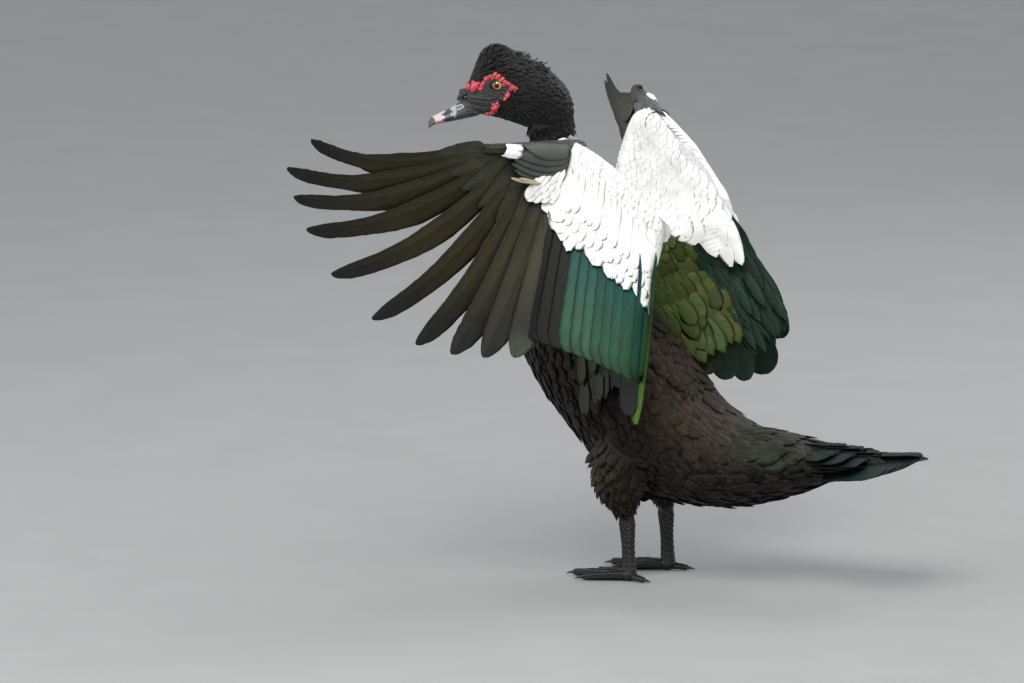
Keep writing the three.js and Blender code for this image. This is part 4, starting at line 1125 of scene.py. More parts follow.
# Fold feathers from the wrist to the elbow, mm, and how far off the humerus they start at each share of it
FOLD_GAP, FOLD_STEP, FOLD_SIZE = (6.4, 9.0), (5.6, 8.0), (17.0, 32.0)
ARM_BAND = ((0.3, 0.42, 0.65, 0.72, 0.8), (56, 54, 27, 12, 0))


def fold_coat(pose, name):
    """White feathers laid smoothly over the fold's two faces."""
    fold = Fold(pose)
    corners = [fold.shoulder, fold.elbow + arr(6, 4), fold.elbow + arr(2, -4), arr(-14, -5)]
    outline = np.concatenate([fold.rim, corners])
    white = Coat()
    far = pose["side"] > 0
    flow = unit(arr(1, 0.2 if far else 0.08))
    across = arr(-flow[1], flow[0])
    for face in (1, -1):

        def place(uv, face=face):
            return fold.place(uv[:, 1:] * flow + uv[:, :1] * across, face)

        def grid(ab):
            return np.stack([ab @ across, ab @ flow], -1)

        pos, count = (-16.0 if far else -22.0), 0
        while pos < fold.span + (12 if far else -16):
            share = smooth(pos / (fold.span * 0.9))
            gap = lerp(*FOLD_GAP, share)
            b = np.arange(-24 + (count % 2) * gap / 2, 190, gap)
            ab = np.stack([pos + RNG.normal(0, gap * 0.12, len(b)), b + RNG.normal(0, gap * 0.08, len(b))],
                          -1)
            pos += lerp(*FOLD_STEP, share)
            count += 1
            ab = ab[inside(outline, ab[:, 0], ab[:, 1]) & (fold.arm_distance(ab)[0] > -6)]
            above, reach = fold.arm_distance(ab)
            ab = ab[above > np.interp(reach, *ARM_BAND)]
            if not len(ab):
                continue
            k = len(ab)
            size = lerp(*FOLD_SIZE, share) * np.clip(0.75 + fold.rim_distance(ab) / 60, 0.75, 1.1)
            where = np.stack([WING_U[pose["side"]] + 0.1 * (ab[:, 0] + 30) / 260 + (0.11 if face > 0 else 0),
                              0.3 + 0.2 * (ab[:, 1] + 30) / 220], -1)
            laid(white, place, grid(ab), size, size * 0.34, RNG.normal(0, 0.04, k), shade(k, SNOW, 0.02),
                 shade(k, SNOW * 0.98, 0.02), where, low=0.3, high=1.3)
        edge = catmull(fold.rim, np.linspace(0.01, 0.72, 46))
        k = len(edge)
        where = np.stack([np.full(k, WING_U[pose["side"]] + (0.11 if face > 0 else 0)),
                          np.linspace(0.3, 0.5, k)], -1)
        laid(white, place, grid(edge), 17.0, 6.5, RNG.normal(0, 0.04, k), shade(k, SNOW, 0.02),
             shade(k, SNOW, 0.02), where,
             low=0.0, high=1.0, roll=0.1)
        for i, (reach, start, length) in enumerate(LONG_WHITES if far else ()):
            ab = fold.shoulder + (fold.elbow - fold.shoulder) * reach + arr(-1, 0) * start
            laid(white, place, grid(ab[None]), length, 11.5, 0.0, shade(1, SNOW, 0.02), shade(1, SNOW, 0.02),
                 np.array([[0.9, 0.42 + 0.004 * i]]), nu=10, low=0.8, high=1.6, tip=0.5)
    white.build(f"fold_coat_{name}", WHITE_MAT, "white_feathers", f"forearm_{name}")


def scapular_frame(pose):
    """A second shingled surface from the shoulder to the elbow, for the feathers over the arm."""
    g = wing_geometry(pose)
    t = np.linspace(0, 1, 6)
    g["roots"] = lerp(g["E"], g["S"], lerp(1.05, -0.08, t)[:, None])
    g["alongs"] = fan(pose["scapulars"], 1 - t)
    out = g["W"] - lerp(g["S"], g["E"], 0.5)
    line = unit(g["E"] - g["S"])
    g["up"] = unit(out - dot(out, line) * line)
    g["face"] = g["fold"] if float(dot(g["fold"],
                                       wing_surface(g, arr(2.5), 10.0)[3][0])[0]) > 0 else -g["fold"]
    return g


# The near arm's scapulars are painted darker by this share: painted shade.
NEAR_ARM_PAINTED_SHADE = 0.22
# Rows over the arm: mm below its line, length, width
SCAPULAR_ROWS = ((84, 52, 24), (72, 48, 24), (61, 45, 23), (51, 42, 22), (41, 39, 21), (32, 36, 20),
                 (24, 33, 19), (16, 31, 18),
                 (8, 28, 17), (1, 26, 16), (-6, 24, 15.5), (-13, 22, 15), (-19, 21, 14), (-25, 20, 13.5),
                 (-30, 18, 13))


ARM_SHARE, ARM_START = 1.13, 0.08


def arm_place(g, q, x, face):
    """Point, direction and normal at x mm below (or above) the arm's line, on one face."""
    below, along, _, normal = wing_surface(g, q, np.maximum(x, 0))
    root = below - along * np.maximum(x, 0)[:, None]
    w = smooth((x + 18) / 36)[:, None]
    up = unit(lerp(np.broadcast_to(g["face"], normal.shape), normal, w)) * face
    h = 4.5 + 15.5 * np.exp(-(x / 26) ** 2)
    p = root + np.where(x[:, None] < 0, -g["up"] * x[:, None], along * x[:, None]) + up * h[:, None]
    return p, up


def scapular_coat(pose, name):
    """Olive scale-like feathers over the arm, narrow dark green ones with lighter edges towards the elbow."""
    g = scapular_frame(pose)
    coat = Coat()
    far = pose["side"] > 0
    for face in (1, -1):
        for row, (x, length, width) in enumerate(SCAPULAR_ROWS):
            if face < 0 and row % 2:
                continue
            for green in (False, True):
                gap = 7.5 if green else width * 0.52
                count = int(np.linalg.norm(g["E"] - g["S"]) * ARM_SHARE / gap)
                q = (np.arange(count) + 0.5 * (row % 2) + RNG.uniform(-0.15, 0.15, count)) / count * 5
                reach = ARM_SHARE * q / 5 - ARM_START
                q = q[(reach > 0.6) & (x > 6) if green else (reach < 0.64)]
                if not far:
                    q = q[ARM_SHARE * q / 5 - ARM_START < 0.6]
                count = len(q)
                if not count:
                    continue
                at = x + RNG.normal(0, 1.5, count)
                p, normal = arm_place(g, q, at, face)
                ahead, _ = arm_place(g, q, at + 6, face)
                down = wing_surface(g, q, np.maximum(at, 0))[1]
                along = unit(unit(ahead - p) * 0.6 + down * 0.6 + RNG.normal(0, 0.04, (count, 3)))
                long = length * (1.35 if green else 1.0)
                end, _ = arm_place(g, q, at + long, face)
                drop = np.clip(dot(p - end, normal)[:, 0] / long, -0.05, 0.35)
                if green:
                    tint = shade(count, BOTTLE * 0.8, 0.25)
                    edge = shade(count, BOTTLE_EDGE, 0.4)
                else:
                    tint = (lerp(OLIVE, MOSS, RNG.uniform(0, 0.7, (count, 1)))
                            * RNG.uniform(0.7, 1.35, (count, 1)))
                    tint = lerp(tint, OLIVE_DARK, smooth((-x - 16) / 8) * RNG.uniform(0.3, 1, (count, 1)))
                    edge = tint * 0.4
                # Painted shade: the near arm's feathers darker than the same feathers on the far arm.
                if not far:
                    tint, edge = tint * NEAR_ARM_PAINTED_SHADE, edge * NEAR_ARM_PAINTED_SHADE
                where = np.stack([(0.77 if far else 0.53) + 0.04 * q + (0.0 if face > 0 else 0.005),
                                  np.full(count, 0.3 - 0.0015 * (x + 30))], -1)
                feathers(coat, p + normal * 0.8, along, normal, long * RNG.uniform(0.93, 1.07, count),
                         width * (0.62 if green else 1.0), tint, edge, where, nu=7, nv=5, curl=drop,
                         camber=0.08, ragged=0.03,
                         tip=0.45, lift=0.05, rim_from=0.86, sink=0.8, roll=0.06)
    coat.build(f"scapulars_{name}", SCAPULAR_MAT, "green_feathers", f"upper_arm_{name}")


# Body coat
BARK = arr(0.0085, 0.0064, 0.0032)
CHESTNUT = arr(0.022, 0.0125, 0.0056)
RUMP = arr(0.022, 0.022, 0.011)
JET = arr(0.0046, 0.0056, 0.0042)
# BELLY_PAINTED_SHADE is a darker brown painted over the trunk's underside: painted shade.
BELLY_PAINTED_SHADE, RUMP_TEAL = arr(0.006, 0.0052, 0.0030), arr(0.014, 0.028, 0.019)
WARM_EDGE, THIGH_BROWN = arr(0.055, 0.036, 0.020), arr(0.015, 0.0110, 0.0055)
TAIL_GREEN, TAIL_TEAL, UNDERTAIL = arr(0.016, 0.032, 0.022), arr(0.012, 0.03, 0.03), arr(0.008, 0.0085, 0.006)
HEAD_BLACK = arr(0.0052, 0.0058, 0.0050)
CROWN_BLACK, CROWN_PALE = arr(0.016, 0.016, 0.014), arr(0.22, 0.22, 0.19)


def trunk_tint(t, angle):
    """Dark brown with a chestnut mantle, painted shade under the belly, black neck, olive and teal rump."""
    k = len(t)
    back = np.cos(angle)
    out = np.tile(BARK, (k, 1))
    mantle = smooth((back - 0.05) / 0.5) * smooth((t - 0.2) / 0.12) * smooth((0.74 - t) / 0.08)
    out = lerp(out, CHESTNUT, mantle[:, None])
    # Painted shade: the underside of the trunk darkened towards the belly.
    out = lerp(out, BELLY_PAINTED_SHADE, (smooth((-back - 0.2) / 0.5) * smooth((0.6 - t) / 0.2) * 0.75)[:, None])
    rump = lerp(RUMP, RUMP_TEAL, RNG.uniform(0, 1, (k, 1)))
    out = lerp(out, rump, (smooth((0.3 - t) / 0.12) * smooth((back + 0.1) / 0.4))[:, None])
    out = lerp(out, JET, smooth((t - 0.7) / 0.08)[:, None])
    return out * RNG.uniform(0.6, 1.45, (k, 1))


# Feather sizes over trunk, neck and rear, mm. A pair runs from the belly to the back
COAT_GAP, COAT_STEP = (8.2, 3.7, 9.5), (7.4, 3.5, 9.0)
COAT_LENGTH, COAT_WIDTH = ((22.0, 27.0), 11.0, (40.0, 46.0)), ((14.0, 17.0), 5.8, 21.0)


def between(sizes, second, third, back=0.0):
    """A size between the first of three and the shares of the second and third."""
    a, b, c = (lerp(*size, back) if isinstance(size, tuple) else size for size in sizes)
    return lerp(lerp(a, b, second), c, third)


def trunk_rows():
    """Staggered places over trunk and neck, denser up the neck, with the size wanted at each."""
    line = np.linspace(0.0, 1, 400)
    centre = spine_frame(line)[0]
    run = run_length(centre)
    pos, row, found = 4.0, 0, []
    while pos < run[-1]:
        t = float(np.interp(pos, run, line))
        _, _, _, half, above, below = spine_frame(np.array([t]))
        neck = float(smooth((t - 0.6) / 0.2))
        rear = float(smooth((0.3 - t) / 0.25))
        gap = between(COAT_GAP, neck, rear)
        girth = math.pi * (half[0] + (above[0] + below[0]) / 2)
        count = max(12, int(girth / gap))
        angle = (np.arange(count) + 0.5 * (row % 2) + RNG.uniform(-0.25, 0.25, count)) / count * 2 * math.pi
        tt = np.clip(t + RNG.uniform(-0.25, 0.25, count) * 0.012, 0.001, 0.998)
        back = smooth((np.cos(angle) + 0.1) / 0.6)
        length = between(COAT_LENGTH, neck, rear, back)
        width = between(COAT_WIDTH, neck, rear, back)
        found.append((tt, angle, length, width))
        pos += between(COAT_STEP, neck, rear)
        row += 1
    return [np.concatenate(x) for x in zip(*found)]


def trunk_coat(tree):
    t, angle, length, width = trunk_rows()
    root = trunk_point(t, angle, SKIN_INSET)
    ahead = trunk_point(np.clip(t - 0.015, -0.01, 1), angle, SKIN_INSET)
    rearmost = t < 0.016
    along = unit(np.where(rearmost[:, None], arr(1, 0, 0.02), ahead - root))
    placed, normals = onto(tree, root)
    keep = np.linalg.norm(placed - root, axis=1) < 9
    every = (placed, normals, along, t, angle, length, width)
    root, normals, along, t, angle, length, width = (x[keep] for x in every)
    tint = trunk_tint(t, angle)
    k = len(root)
    warm = 0.5 * smooth((0.72 - t) / 0.15) * smooth((np.cos(angle) + 0.5) / 0.8)
    rim = lerp(tint * 0.55, WARM_EDGE, (warm * RNG.uniform(0.0, 0.8, k))[:, None])
    where = np.stack([0.02 + 0.46 * angle / (2 * math.pi), 0.02 + 0.96 * t], -1)
    for part, name, mat, slot, node, kw in (
            (t <= 0.7, "body_coat", BODY_MAT, "body_feathers", "torso",
             dict(nu=5, nv=3, curl=0.05, ragged=0.08)),
            (t > 0.7, "neck_coat", BLACK_MAT, "head_feathers", "neck",
             dict(nu=4, nv=3, curl=0.06, ragged=0.1))):
        piece = Coat()
        m = int(part.sum())
        feathers(piece, root[part] + normals[part] * 0.3, along[part] + RNG.normal(0, 0.05, (m, 3)),
                 normals[part],
                 length[part] * RNG.uniform(0.9, 1.1, m), width[part], tint[part], rim[part], where[part],
                 camber=0.09, lift=0.07, sink=1.0, **kw)
        piece.build(name, mat, slot, node)


# Thigh feathers from the hip to the shin, mm
THIGH_GAP, THIGH_STEP, THIGH_LENGTH, THIGH_WIDTH = (8.0, 4.5), (6.4, 4.4), (20.0, 13.0), (12.0, 6.0)


def thigh_coat(tree):
    """Soft brown feathers down each thigh to the shin."""
    for side, name in ((-1, "left"), (1, "right")):
        hip, knee, ankle = (place_leg(p, side) for p in (HIP, KNEE, ANKLE))
        line = catmull([hip, knee, lerp(knee, ankle, SHIN_SHARE)], np.linspace(0, 1, 60))
        radii = np.interp(np.linspace(0, 1, 60), (0, 0.5, 1), THIGH_SKIN_RADII)
        run = run_length(line)
        coat = Coat()
        pos, row = 4.0, 0
        while pos < run[-1] - 1:
            share = pos / run[-1]
            centre = np.array([np.interp(pos, run, line[:, c]) for c in range(3)])
            ahead = np.array([np.interp(pos + 4, run, line[:, c]) for c in range(3)])
            r = float(np.interp(pos, run, radii))
            count = max(14, int(2 * math.pi * r / lerp(*THIGH_GAP, share)))
            a = (np.arange(count) + 0.5 * (row % 2) + RNG.uniform(-0.2, 0.2, count)) / count * 2 * math.pi
            down = unit(ahead - centre + arr(0, 0, -1e-6))
            u = unit(np.cross(down, arr(1, 0, 0)))
            w = np.cross(down, u)
            out = np.cos(a)[:, None] * u + np.sin(a)[:, None] * w
            root = centre + out * r
            placed, normals = onto(tree, root)
            ok = (np.linalg.norm(placed - root, axis=1) < 5) & (dot(normals, out)[:, 0] > 0.3)
            m = int(ok.sum())
            if m:
                tint = shade(m, THIGH_BROWN, 0.3)
                where = np.stack([0.52 + 0.2 * a[ok] / (2 * math.pi) + (0.24 if side > 0 else 0),
                                  np.full(m, 0.05 + 0.2 * share)], -1)
                feathers(coat, placed[ok] + normals[ok] * 0.3,
                         np.broadcast_to(down, (m, 3)) + RNG.normal(0, 0.08, (m, 3)),
                         normals[ok], lerp(*THIGH_LENGTH, share) * RNG.uniform(0.85, 1.15, m),
                         lerp(*THIGH_WIDTH, share), tint,
                         tint * 1.3, where, nu=5, nv=3, curl=0.06, camber=0.1, ragged=0.08, lift=0.075,
                         sink=1.0)
            pos += lerp(*THIGH_STEP, share)
            row += 1
        coat.build(f"thigh_coat_{name}", BODY_MAT, "body_feathers", f"thigh_{name}")


# Tail
TAIL_ROOT = arr(225, 0, 149)
TAIL_COUNT, TAIL_SPREAD, TAIL_SPAN = 18, 0.42, 16
TAIL_PITCH = 0.06
# Tail coverts: level, place behind the root, length, width, number
UPPER_TAIL = ((7, -6, 66, 32, 9), (11, -18, 60, 28, 9), (13, -34, 56, 26, 9))
UNDER_TAIL = ((-14, -6, 68, 32, 9), (-20, -22, 62, 28, 9), (-25, -40, 56, 26, 9))


def tail_part(coat, level, arch, back, length, width, count, tilt, tint_at, *, outer=1.0, over=1,
              where=(0.5, 0.5)):
    """One fan of tail feathers, each half shingled from the middle outwards."""
    for half in (-1, 1):
        shares = np.linspace(0.0 if half > 0 else 1 / count, 1, (count + 1) // 2)
        turn = shares * TAIL_SPREAD * half
        along = unit(np.stack([np.cos(turn), np.sin(turn), np.full(len(turn), TAIL_PITCH + tilt)], -1))
        roots = TAIL_ROOT + np.stack([np.full(len(turn), float(back)), shares * half * TAIL_SPAN,
                                      level - shares * arch], -1)
        g = dict(roots=roots, alongs=along, side=-half * over)
        for q, share in enumerate(shares):
            f = dict(group="secondary", t=share,
                     length=length * lerp(1, outer, share ** 2) * RNG.uniform(0.98, 1.02),
                     lead=width / 2, trail=width / 2, bow=0.0)
            big_feather(coat, g, q, f, tint_at, np.asarray(where) + arr(0.02 * share * half, 0),
                        bend=0.04 * over, roll=0.10,
                        rows=24, cols=9, lift=1.6 * (1 - share) * over, ridge=0.6)


def tail_coat():
    coat = Coat()

    def vane_tint(s, t):
        base = mixed(TAIL_GREEN * RNG.uniform(0.8, 1.2), (TAIL_TEAL, smooth((s - 0.4) / 0.3) * 0.7),
                     (SOOT, smooth((s - 0.72) / 0.25) * 0.85))
        return mixed(base, (SOOT, smooth((np.abs(t) - 0.6) / 0.4) * 0.6))

    def under_tint(s, t):
        return mixed(UNDERTAIL * RNG.uniform(0.8, 1.2), (SOOT, smooth((np.abs(t) - 0.6) / 0.4) * 0.5))

    tail_part(coat, 0, 12, 0, 114, 34, TAIL_COUNT, 0.0, vane_tint, outer=0.84, where=(0.25, 0.02))
    for level, back, length, width, count in UPPER_TAIL:
        tail_part(coat, level, 7, back, length, width, count, -0.05, vane_tint, where=(0.25, 0.03))
    for level, back, length, width, count in UNDER_TAIL:
        tail_part(coat, level, -5, back, length, width, count, 0.06, under_tint, over=-1, where=(0.25, 0.03))
    coat.build("tail_coat", SCAPULAR_MAT, "tail_feathers", "tail")


# Head coat
BARE = ((96, 70), (93, 75), (86, 78), (80, 76), (77, 81), (73, 86), (66, 90), (60, 89), (54, 83), (48, 80),
        (41, 76), (44, 70),
        (52, 60), (60, 56), (62, 48), (68, 43), (76, 41.5), (86, 40.5), (98.5, 38), (99.5, 56))


HEAD_ROWS, HEAD_GAP, CROWN_COUNT = 62, 2.9, 64
# Head feather sizes on the nape, the cheek and the crest, mm
HEAD_LENGTH, HEAD_WIDTH = (9.5, 5.0, 13.5), (4.6, 3.4, 6.0)


def head_rows():
    found = []
    for i in range(HEAD_ROWS):
        t = 1 - i / HEAD_ROWS * 0.99
        s = catmull(SKULL, np.array([t]))[0]
        girth = math.pi * (s[2] + (s[3] + s[4]) / 2)
        count = max(8, int(girth / HEAD_GAP))
        a = (np.arange(count) + 0.5 * (i % 2) + RNG.uniform(-0.25, 0.25, count)) / count * 2 * math.pi
        found.append((np.full(count, t), a))
    return [np.concatenate(x) for x in zip(*found)]


def head_coat(tree):
    t, a = head_rows()
    root = skull_point(t, a, SKULL_INSET)
    ahead = skull_point(np.clip(t - 0.03, 0, 1), a, SKULL_INSET)
    along = unit(ahead - root)
    placed, normals = onto(tree, root)
    h = to_head(placed)
    bare = inside(BARE, h[:, 0], h[:, 2]) & (np.abs(h[:, 1]) > 6)
    keep = (~bare & ~((h[:, 0] > 86) & (h[:, 2] < 80)) & (np.linalg.norm(placed - root, axis=1) < 8)
            & (h[:, 0] < 93))
    root, normals, along, t, a, h = (x[keep] for x in (placed, normals, along, t, a, h))
    k = len(root)
    crest = smooth((h[:, 2] - 84) / 16)
    nape = (smooth((34 - h[:, 0]) / 30) * smooth((80 - h[:, 2]) / 45))[:, None]
    along = unit(lerp(along, head_dir(-0.25, 0, -1), nape * 0.85))
    cheek = smooth((h[:, 0] - 30) / 30) * (1 - crest)
    length = between(HEAD_LENGTH, cheek, crest) * RNG.uniform(0.85, 1.15, k)
    width = between(HEAD_WIDTH, cheek, crest)
    lift = lerp(0.07, 0.12, crest) * RNG.uniform(0.7, 1.3, k)
    tint = shade(k, HEAD_BLACK, 0.35)
    where = np.stack([0.52 + 0.2 * a / (2 * math.pi), 0.02 + 0.24 * t], -1)
    coat = Coat()
    feathers(coat, root + normals * 0.15, along + RNG.normal(0, 0.07, (k, 3)), normals, length, width, tint,
             tint * 1.2, where,
             nu=4, nv=3, curl=0.06, camber=0.12, ragged=0.1, lift=lift, point=0.2, sink=0.6)
    coat.build("head_coat", BLACK_MAT, "head_feathers", "head")


def crown_flecks(tree):
    """Ragged small feathers of the rear crown, turned up and pale at their edges."""
    count = CROWN_COUNT
    x, y = RNG.uniform(6, 50, count), RNG.normal(0, 9.0, count)
    s = catmull(SKULL, np.interp(x, SKULL[:, 0], np.linspace(0, 1, len(SKULL))))
    z = s[:, 1] + s[:, 3] * np.sqrt(np.clip(1 - (y / s[:, 2]) ** 2, 0, 1))
    placed, normals = onto(tree, in_head(x, y, z))
    along = np.broadcast_to(head_dir(-1, 0, -0.2), (count, 3)) + RNG.normal(0, 0.45, (count, 3))
    tint = shade(count, CROWN_BLACK, 0.6)
    pale = RNG.uniform(0, 1, (count, 1)) < 0.45
    edge = np.where(pale, CROWN_PALE, tint * 2)
    where = np.stack([0.62 + 0.002 * y, 0.02 + 0.24 * x / 100], -1)
    coat = Coat()
    feathers(coat, placed + normals * 0.6, along, normals, RNG.uniform(6, 9, count),
             RNG.uniform(3.2, 4.8, count), tint, edge, where,
             nu=5, nv=3, curl=-0.06, camber=0.3, ragged=0.3, lift=0.16, point=0.4, rim_from=0.8)
    coat.build("crown_flecks", BLACK_MAT, "head_feathers", "head")


# Solid forms
def closed_rings(coat, rings, tint, where):
    """A closed tube from rings of points, its ends filled by strips. tint is one colour or one per point."""
    rows, cols = rings.shape[:2]
    quads = np.concatenate([grid_quads(rows, cols, wrap=True), end_strips(rows, cols)])
    tint = np.broadcast_to(np.asarray(tint, float), (rows, cols, 3)).reshape(-1, 3)
    u, v = np.meshgrid(np.linspace(-1, 1, cols), np.linspace(-1, 1, rows))
    patch = np.asarray(where, float).reshape(1, 2) + np.stack([u.ravel(), v.ravel()], -1) * PATCH_HALF
    vane = np.stack([u.ravel(), v.ravel()], -1)
    coat.add(rings.reshape(-1, 3), quads, tint, vane, patch, np.ones(len(quads), bool))


def ball(coat, centre, radii, tint, where, *, lumps=0.0, axes=None, rows=14, cols=18):
    """A closed lumpy ball, its axes along the rows of axes."""
    axes = np.eye(3) if axes is None else axes
    a = np.linspace(0.04, math.pi - 0.04, rows)[:, None]
    b = circle(cols)[None, :]
    d = np.stack([np.sin(a) * np.cos(b), np.sin(a) * np.sin(b), np.cos(a) + 0 * b], -1)
    grow = np.ones(d.shape[:2])
    for _ in range(7 if lumps else 0):
        grow += lumps * np.exp(-np.sum((d - unit(RNG.normal(0, 1, 3))) ** 2, -1) / 0.25)
    points = (d * grow[..., None] * np.asarray(radii, float)) @ axes + centre
    closed_rings(coat, points, tint, where)


def slab(coat, top, drop, tint, where):
    """A closed slab under a grid of points: its top, and a base drop (a grid of vectors) below."""
    ring = np.concatenate([top, (top - drop)[:, ::-1]], 1)
    tint = np.asarray(tint, float)
    if tint.ndim > 1:
        tint = np.concatenate([tint, tint[:, ::-1]], 1)
    closed_rings(coat, ring, tint, where)


def path_rings(path, radii, sides, up=(0, 0, 1), flat=1.0):
    """Rings of the given radii square to a path."""
    path = np.asarray(path, float)
    d = unit(np.gradient(path, axis=0))
    u = unit(np.cross(d, np.asarray(up, float)))
    w = np.cross(u, d)
    a = circle(sides)
    r = np.asarray(radii, float)[:, None, None]
    return path[:, None, :] + r * (np.cos(a)[None, :, None] * u[:, None, :]
                                   + flat * np.sin(a)[None, :, None] * w[:, None, :])


# Face
SKULL_LINE = catmull(SKULL, np.linspace(0, 1, 240))
BILL_TIP = np.array([(135.5, 36, 28.5, 27.6, 8), (138.5, 32.5, 27, 26.8, 3.5)])
BILL_LINE = catmull(np.vstack([BILL, BILL_TIP]), np.linspace(0, 1, 240))
FACE_GREY, ORBIT_BLACK = arr(0.030, 0.031, 0.030), arr(0.012, 0.012, 0.012)
FOLDS = (
    (((99, 63.5), (90, 59.5), (80, 58), (70, 58), (60, 60.5)), 0.8, -0.8),
         (((98, 66), (90, 62.2), (80, 60.6), (70, 60.6)), 1.2, 0.6),
    (((95, 56.5), (86, 53.5), (79, 51.5), (73, 51.2)), 0.8, -0.7),
         (((97, 53.5), (88, 50.5), (80, 48.8), (74, 48.6)), 1.2, 0.6),
    (((88, 46.0), (80, 45.0), (73, 44.6), (68, 46.2)), 0.7, -1.2),
         (((86, 42.8), (78, 42), (71, 43)), 1.3, 0.5),
    (((77, 70), (84, 68.5), (92, 67.5)), 0.8, -0.6), (((74, 66), (84, 64.6), (93, 64)), 0.7, -0.5),
    (((66, 66.5), (63, 61.5), (62, 57)), 0.8, -0.4), (((71, 66), (70, 61)), 0.7, -0.4),
         (((57, 66.5), (55, 62)), 0.7, -0.4),
    (((50, 80), (46, 75), (45, 70)), 0.8, -0.4), (((84, 74), (79, 72.5), (74, 72)), 0.8, -0.4))


def polyline_distance(x, z, pts):
    best = np.full(np.shape(x), 1e9)
    for (x0, z0), (x1, z1) in zip(pts[:-1], pts[1:]):
        dx, dz = x1 - x0, z1 - z0
        share = np.clip(((x - x0) * dx + (z - z0) * dz) / (dx * dx + dz * dz), 0, 1)
        best = np.minimum(best, np.hypot(x - x0 - share * dx, z - z0 - share * dz))
    return best


def skull_side(x, z):
    mid, half, above, below = (np.interp(x, SKULL_LINE[:, 0], SKULL_LINE[:, k]) for k in (1, 2, 3, 4))
    reach = np.where(z > mid, above, below)
    return np.where(x > SKULL_LINE[-1, 0], 0, half * np.sqrt(np.clip(1 - ((z - mid) / reach) ** 2, 0, 1)))


def bill_side(x, z):
    top, mouth, bottom, half = (np.interp(x, BILL_LINE[:, 0], BILL_LINE[:, k]) for k in (1, 2, 3, 4))
    rise = np.clip((z - mouth) / (top - mouth), 0, 1) ** 1.25
    drop = np.clip((mouth - z) / (mouth - bottom), 0, 1) ** 1.25
    upper = half * np.sqrt(1 - rise ** 2)
    lower = (half - 0.8) * np.sqrt(1 - drop ** 2)
    return np.where(x < 82, 0, np.where(z > mouth, upper, lower))


# Creases under the eye: radius and depth, mm
EYE_CREASES = ((8.6, -0.35), (10.8, -0.4), (13.2, -0.3))


def face_relief(x, z):
    out = 0 * x
    for pts, width, height in FOLDS:
        out += height * np.exp(-(polyline_distance(x, z, pts) / width) ** 2)
    r = np.hypot((x - EYE[0]) / 1.12, z - EYE[2])
    below = smooth((EYE[2] + 1 - z) / 5)
    for ring, depth in EYE_CREASES:
        out += depth * below * np.exp(-((r - ring) / 0.55) ** 2)
    grain = np.random.default_rng(4)
    for _ in range(46):
        kx, kz, phase = grain.normal(0, 1.6), grain.normal(0, 1.6), grain.uniform(0, 6.3)
        out += 0.035 * np.sin(kx * x + kz * z + phase)
    return out


def face_side(x, z):
    """How far the bare face stands out from the head's middle plane."""
    base = np.maximum(skull_side(x, z), bill_side(x, z) * 0.99)
    return base + 0.9 + face_relief(x, z)


FACE_X, FACE_Z, FACE_STEP = (39, 100.5), (29, 93), 0.6
FACE_DEPTH = 2.2


def face_skin():
    """The bare skin of both cheeks as closed sheets, cut out of a grid along the feather edge."""
    xs, zs = np.arange(*FACE_X, FACE_STEP), np.arange(*FACE_Z, FACE_STEP)
    x, z = np.meshgrid(xs, zs, indexing="ij")
    closed_outline = list(BARE) + [BARE[0]]
    rim = polyline_distance(x, z, closed_outline)
    inner = inside(BARE, x.ravel(), z.ravel()).reshape(x.shape)
    rim = np.where(inner, rim, -rim)
    keep = (rim > -0.3) & (np.maximum(skull_side(x, z), bill_side(x, z)) > 1.5)
    y = face_side(x, z) - 1.7 * (1 - smooth(rim / 3.2))
    r = np.hypot((x - EYE[0]) / 1.18, z - EYE[2])
    y = np.minimum(y, lerp(20.5, 26.5, smooth((r - 4.4) / 2.6)))
    relief = face_relief(x, z)
    # Painted light and shade: the grey is lighter on the raised folds and darker in the creases and the rings
    # under the eye, by the relief's height, with a faint grain.
    tone = np.clip(1 + relief * 0.7, 0.35, 1.8)[..., None] * FACE_GREY
    tone = lerp(tone, ORBIT_BLACK, (smooth((9 - r) / 4) * 0.8)[..., None])
    coat = Coat()
    cells = keep[:-1, :-1] & keep[1:, :-1] & keep[1:, 1:] & keep[:-1, 1:]
    rows, cols = x.shape
    i, j = np.nonzero(cells)
    top = np.stack([i * cols + j, i * cols + j + 1, (i + 1) * cols + j + 1, (i + 1) * cols + j], -1)
    per = rows * cols
    count = {}
    for a, b in np.concatenate([top[:, [0, 1]], top[:, [1, 2]], top[:, [2, 3]], top[:, [3, 0]]]).tolist():
        count[(a, b)] = count.get((a, b), 0) + 1
    edge = np.array([(a, b) for (a, b) in count if (b, a) not in count])
    walls = np.stack([edge[:, 1], edge[:, 0], edge[:, 0] + per, edge[:, 1] + per], -1)
    quads = np.concatenate([top, top[:, ::-1] + per, walls])
    used = np.unique(quads)
    index = np.full(2 * per, -1)
    index[used] = np.arange(len(used))
    for side in (-1, 1):
        front, back = in_head(x, side * y, z), in_head(x, side * (y - FACE_DEPTH), z)
        verts = np.concatenate([front.reshape(-1, 3), back.reshape(-1, 3)])[used]
        faces = index[quads]
        if side > 0:
            faces = faces[:, ::-1]
        where = np.stack([0.53 + 0.1 * (x - 39) / 62 + (0.12 if side > 0 else 0),
                          0.42 + 0.08 * (z - 29) / 64], -1).reshape(-1, 2)
        tint = np.concatenate([tone.reshape(-1, 3)] * 2)[used]
        both = np.concatenate([where] * 2)[used]
        coat.add(verts, faces, tint, both, both, np.ones(len(faces), bool))
    coat.build("face_skin", FACE_MAT, "bill", "head")


IRIS_RINGS = ((0.30, (0.004, 0.004, 0.004)), (0.34, (0.16, 0.045, 0.012)), (0.42, (0.36, 0.16, 0.03)),
              (0.50, (0.62, 0.44, 0.08)),
              (0.68, (0.60, 0.44, 0.10)), (0.75, (0.10, 0.07, 0.02)), (0.84, (0.008, 0.008, 0.008)))


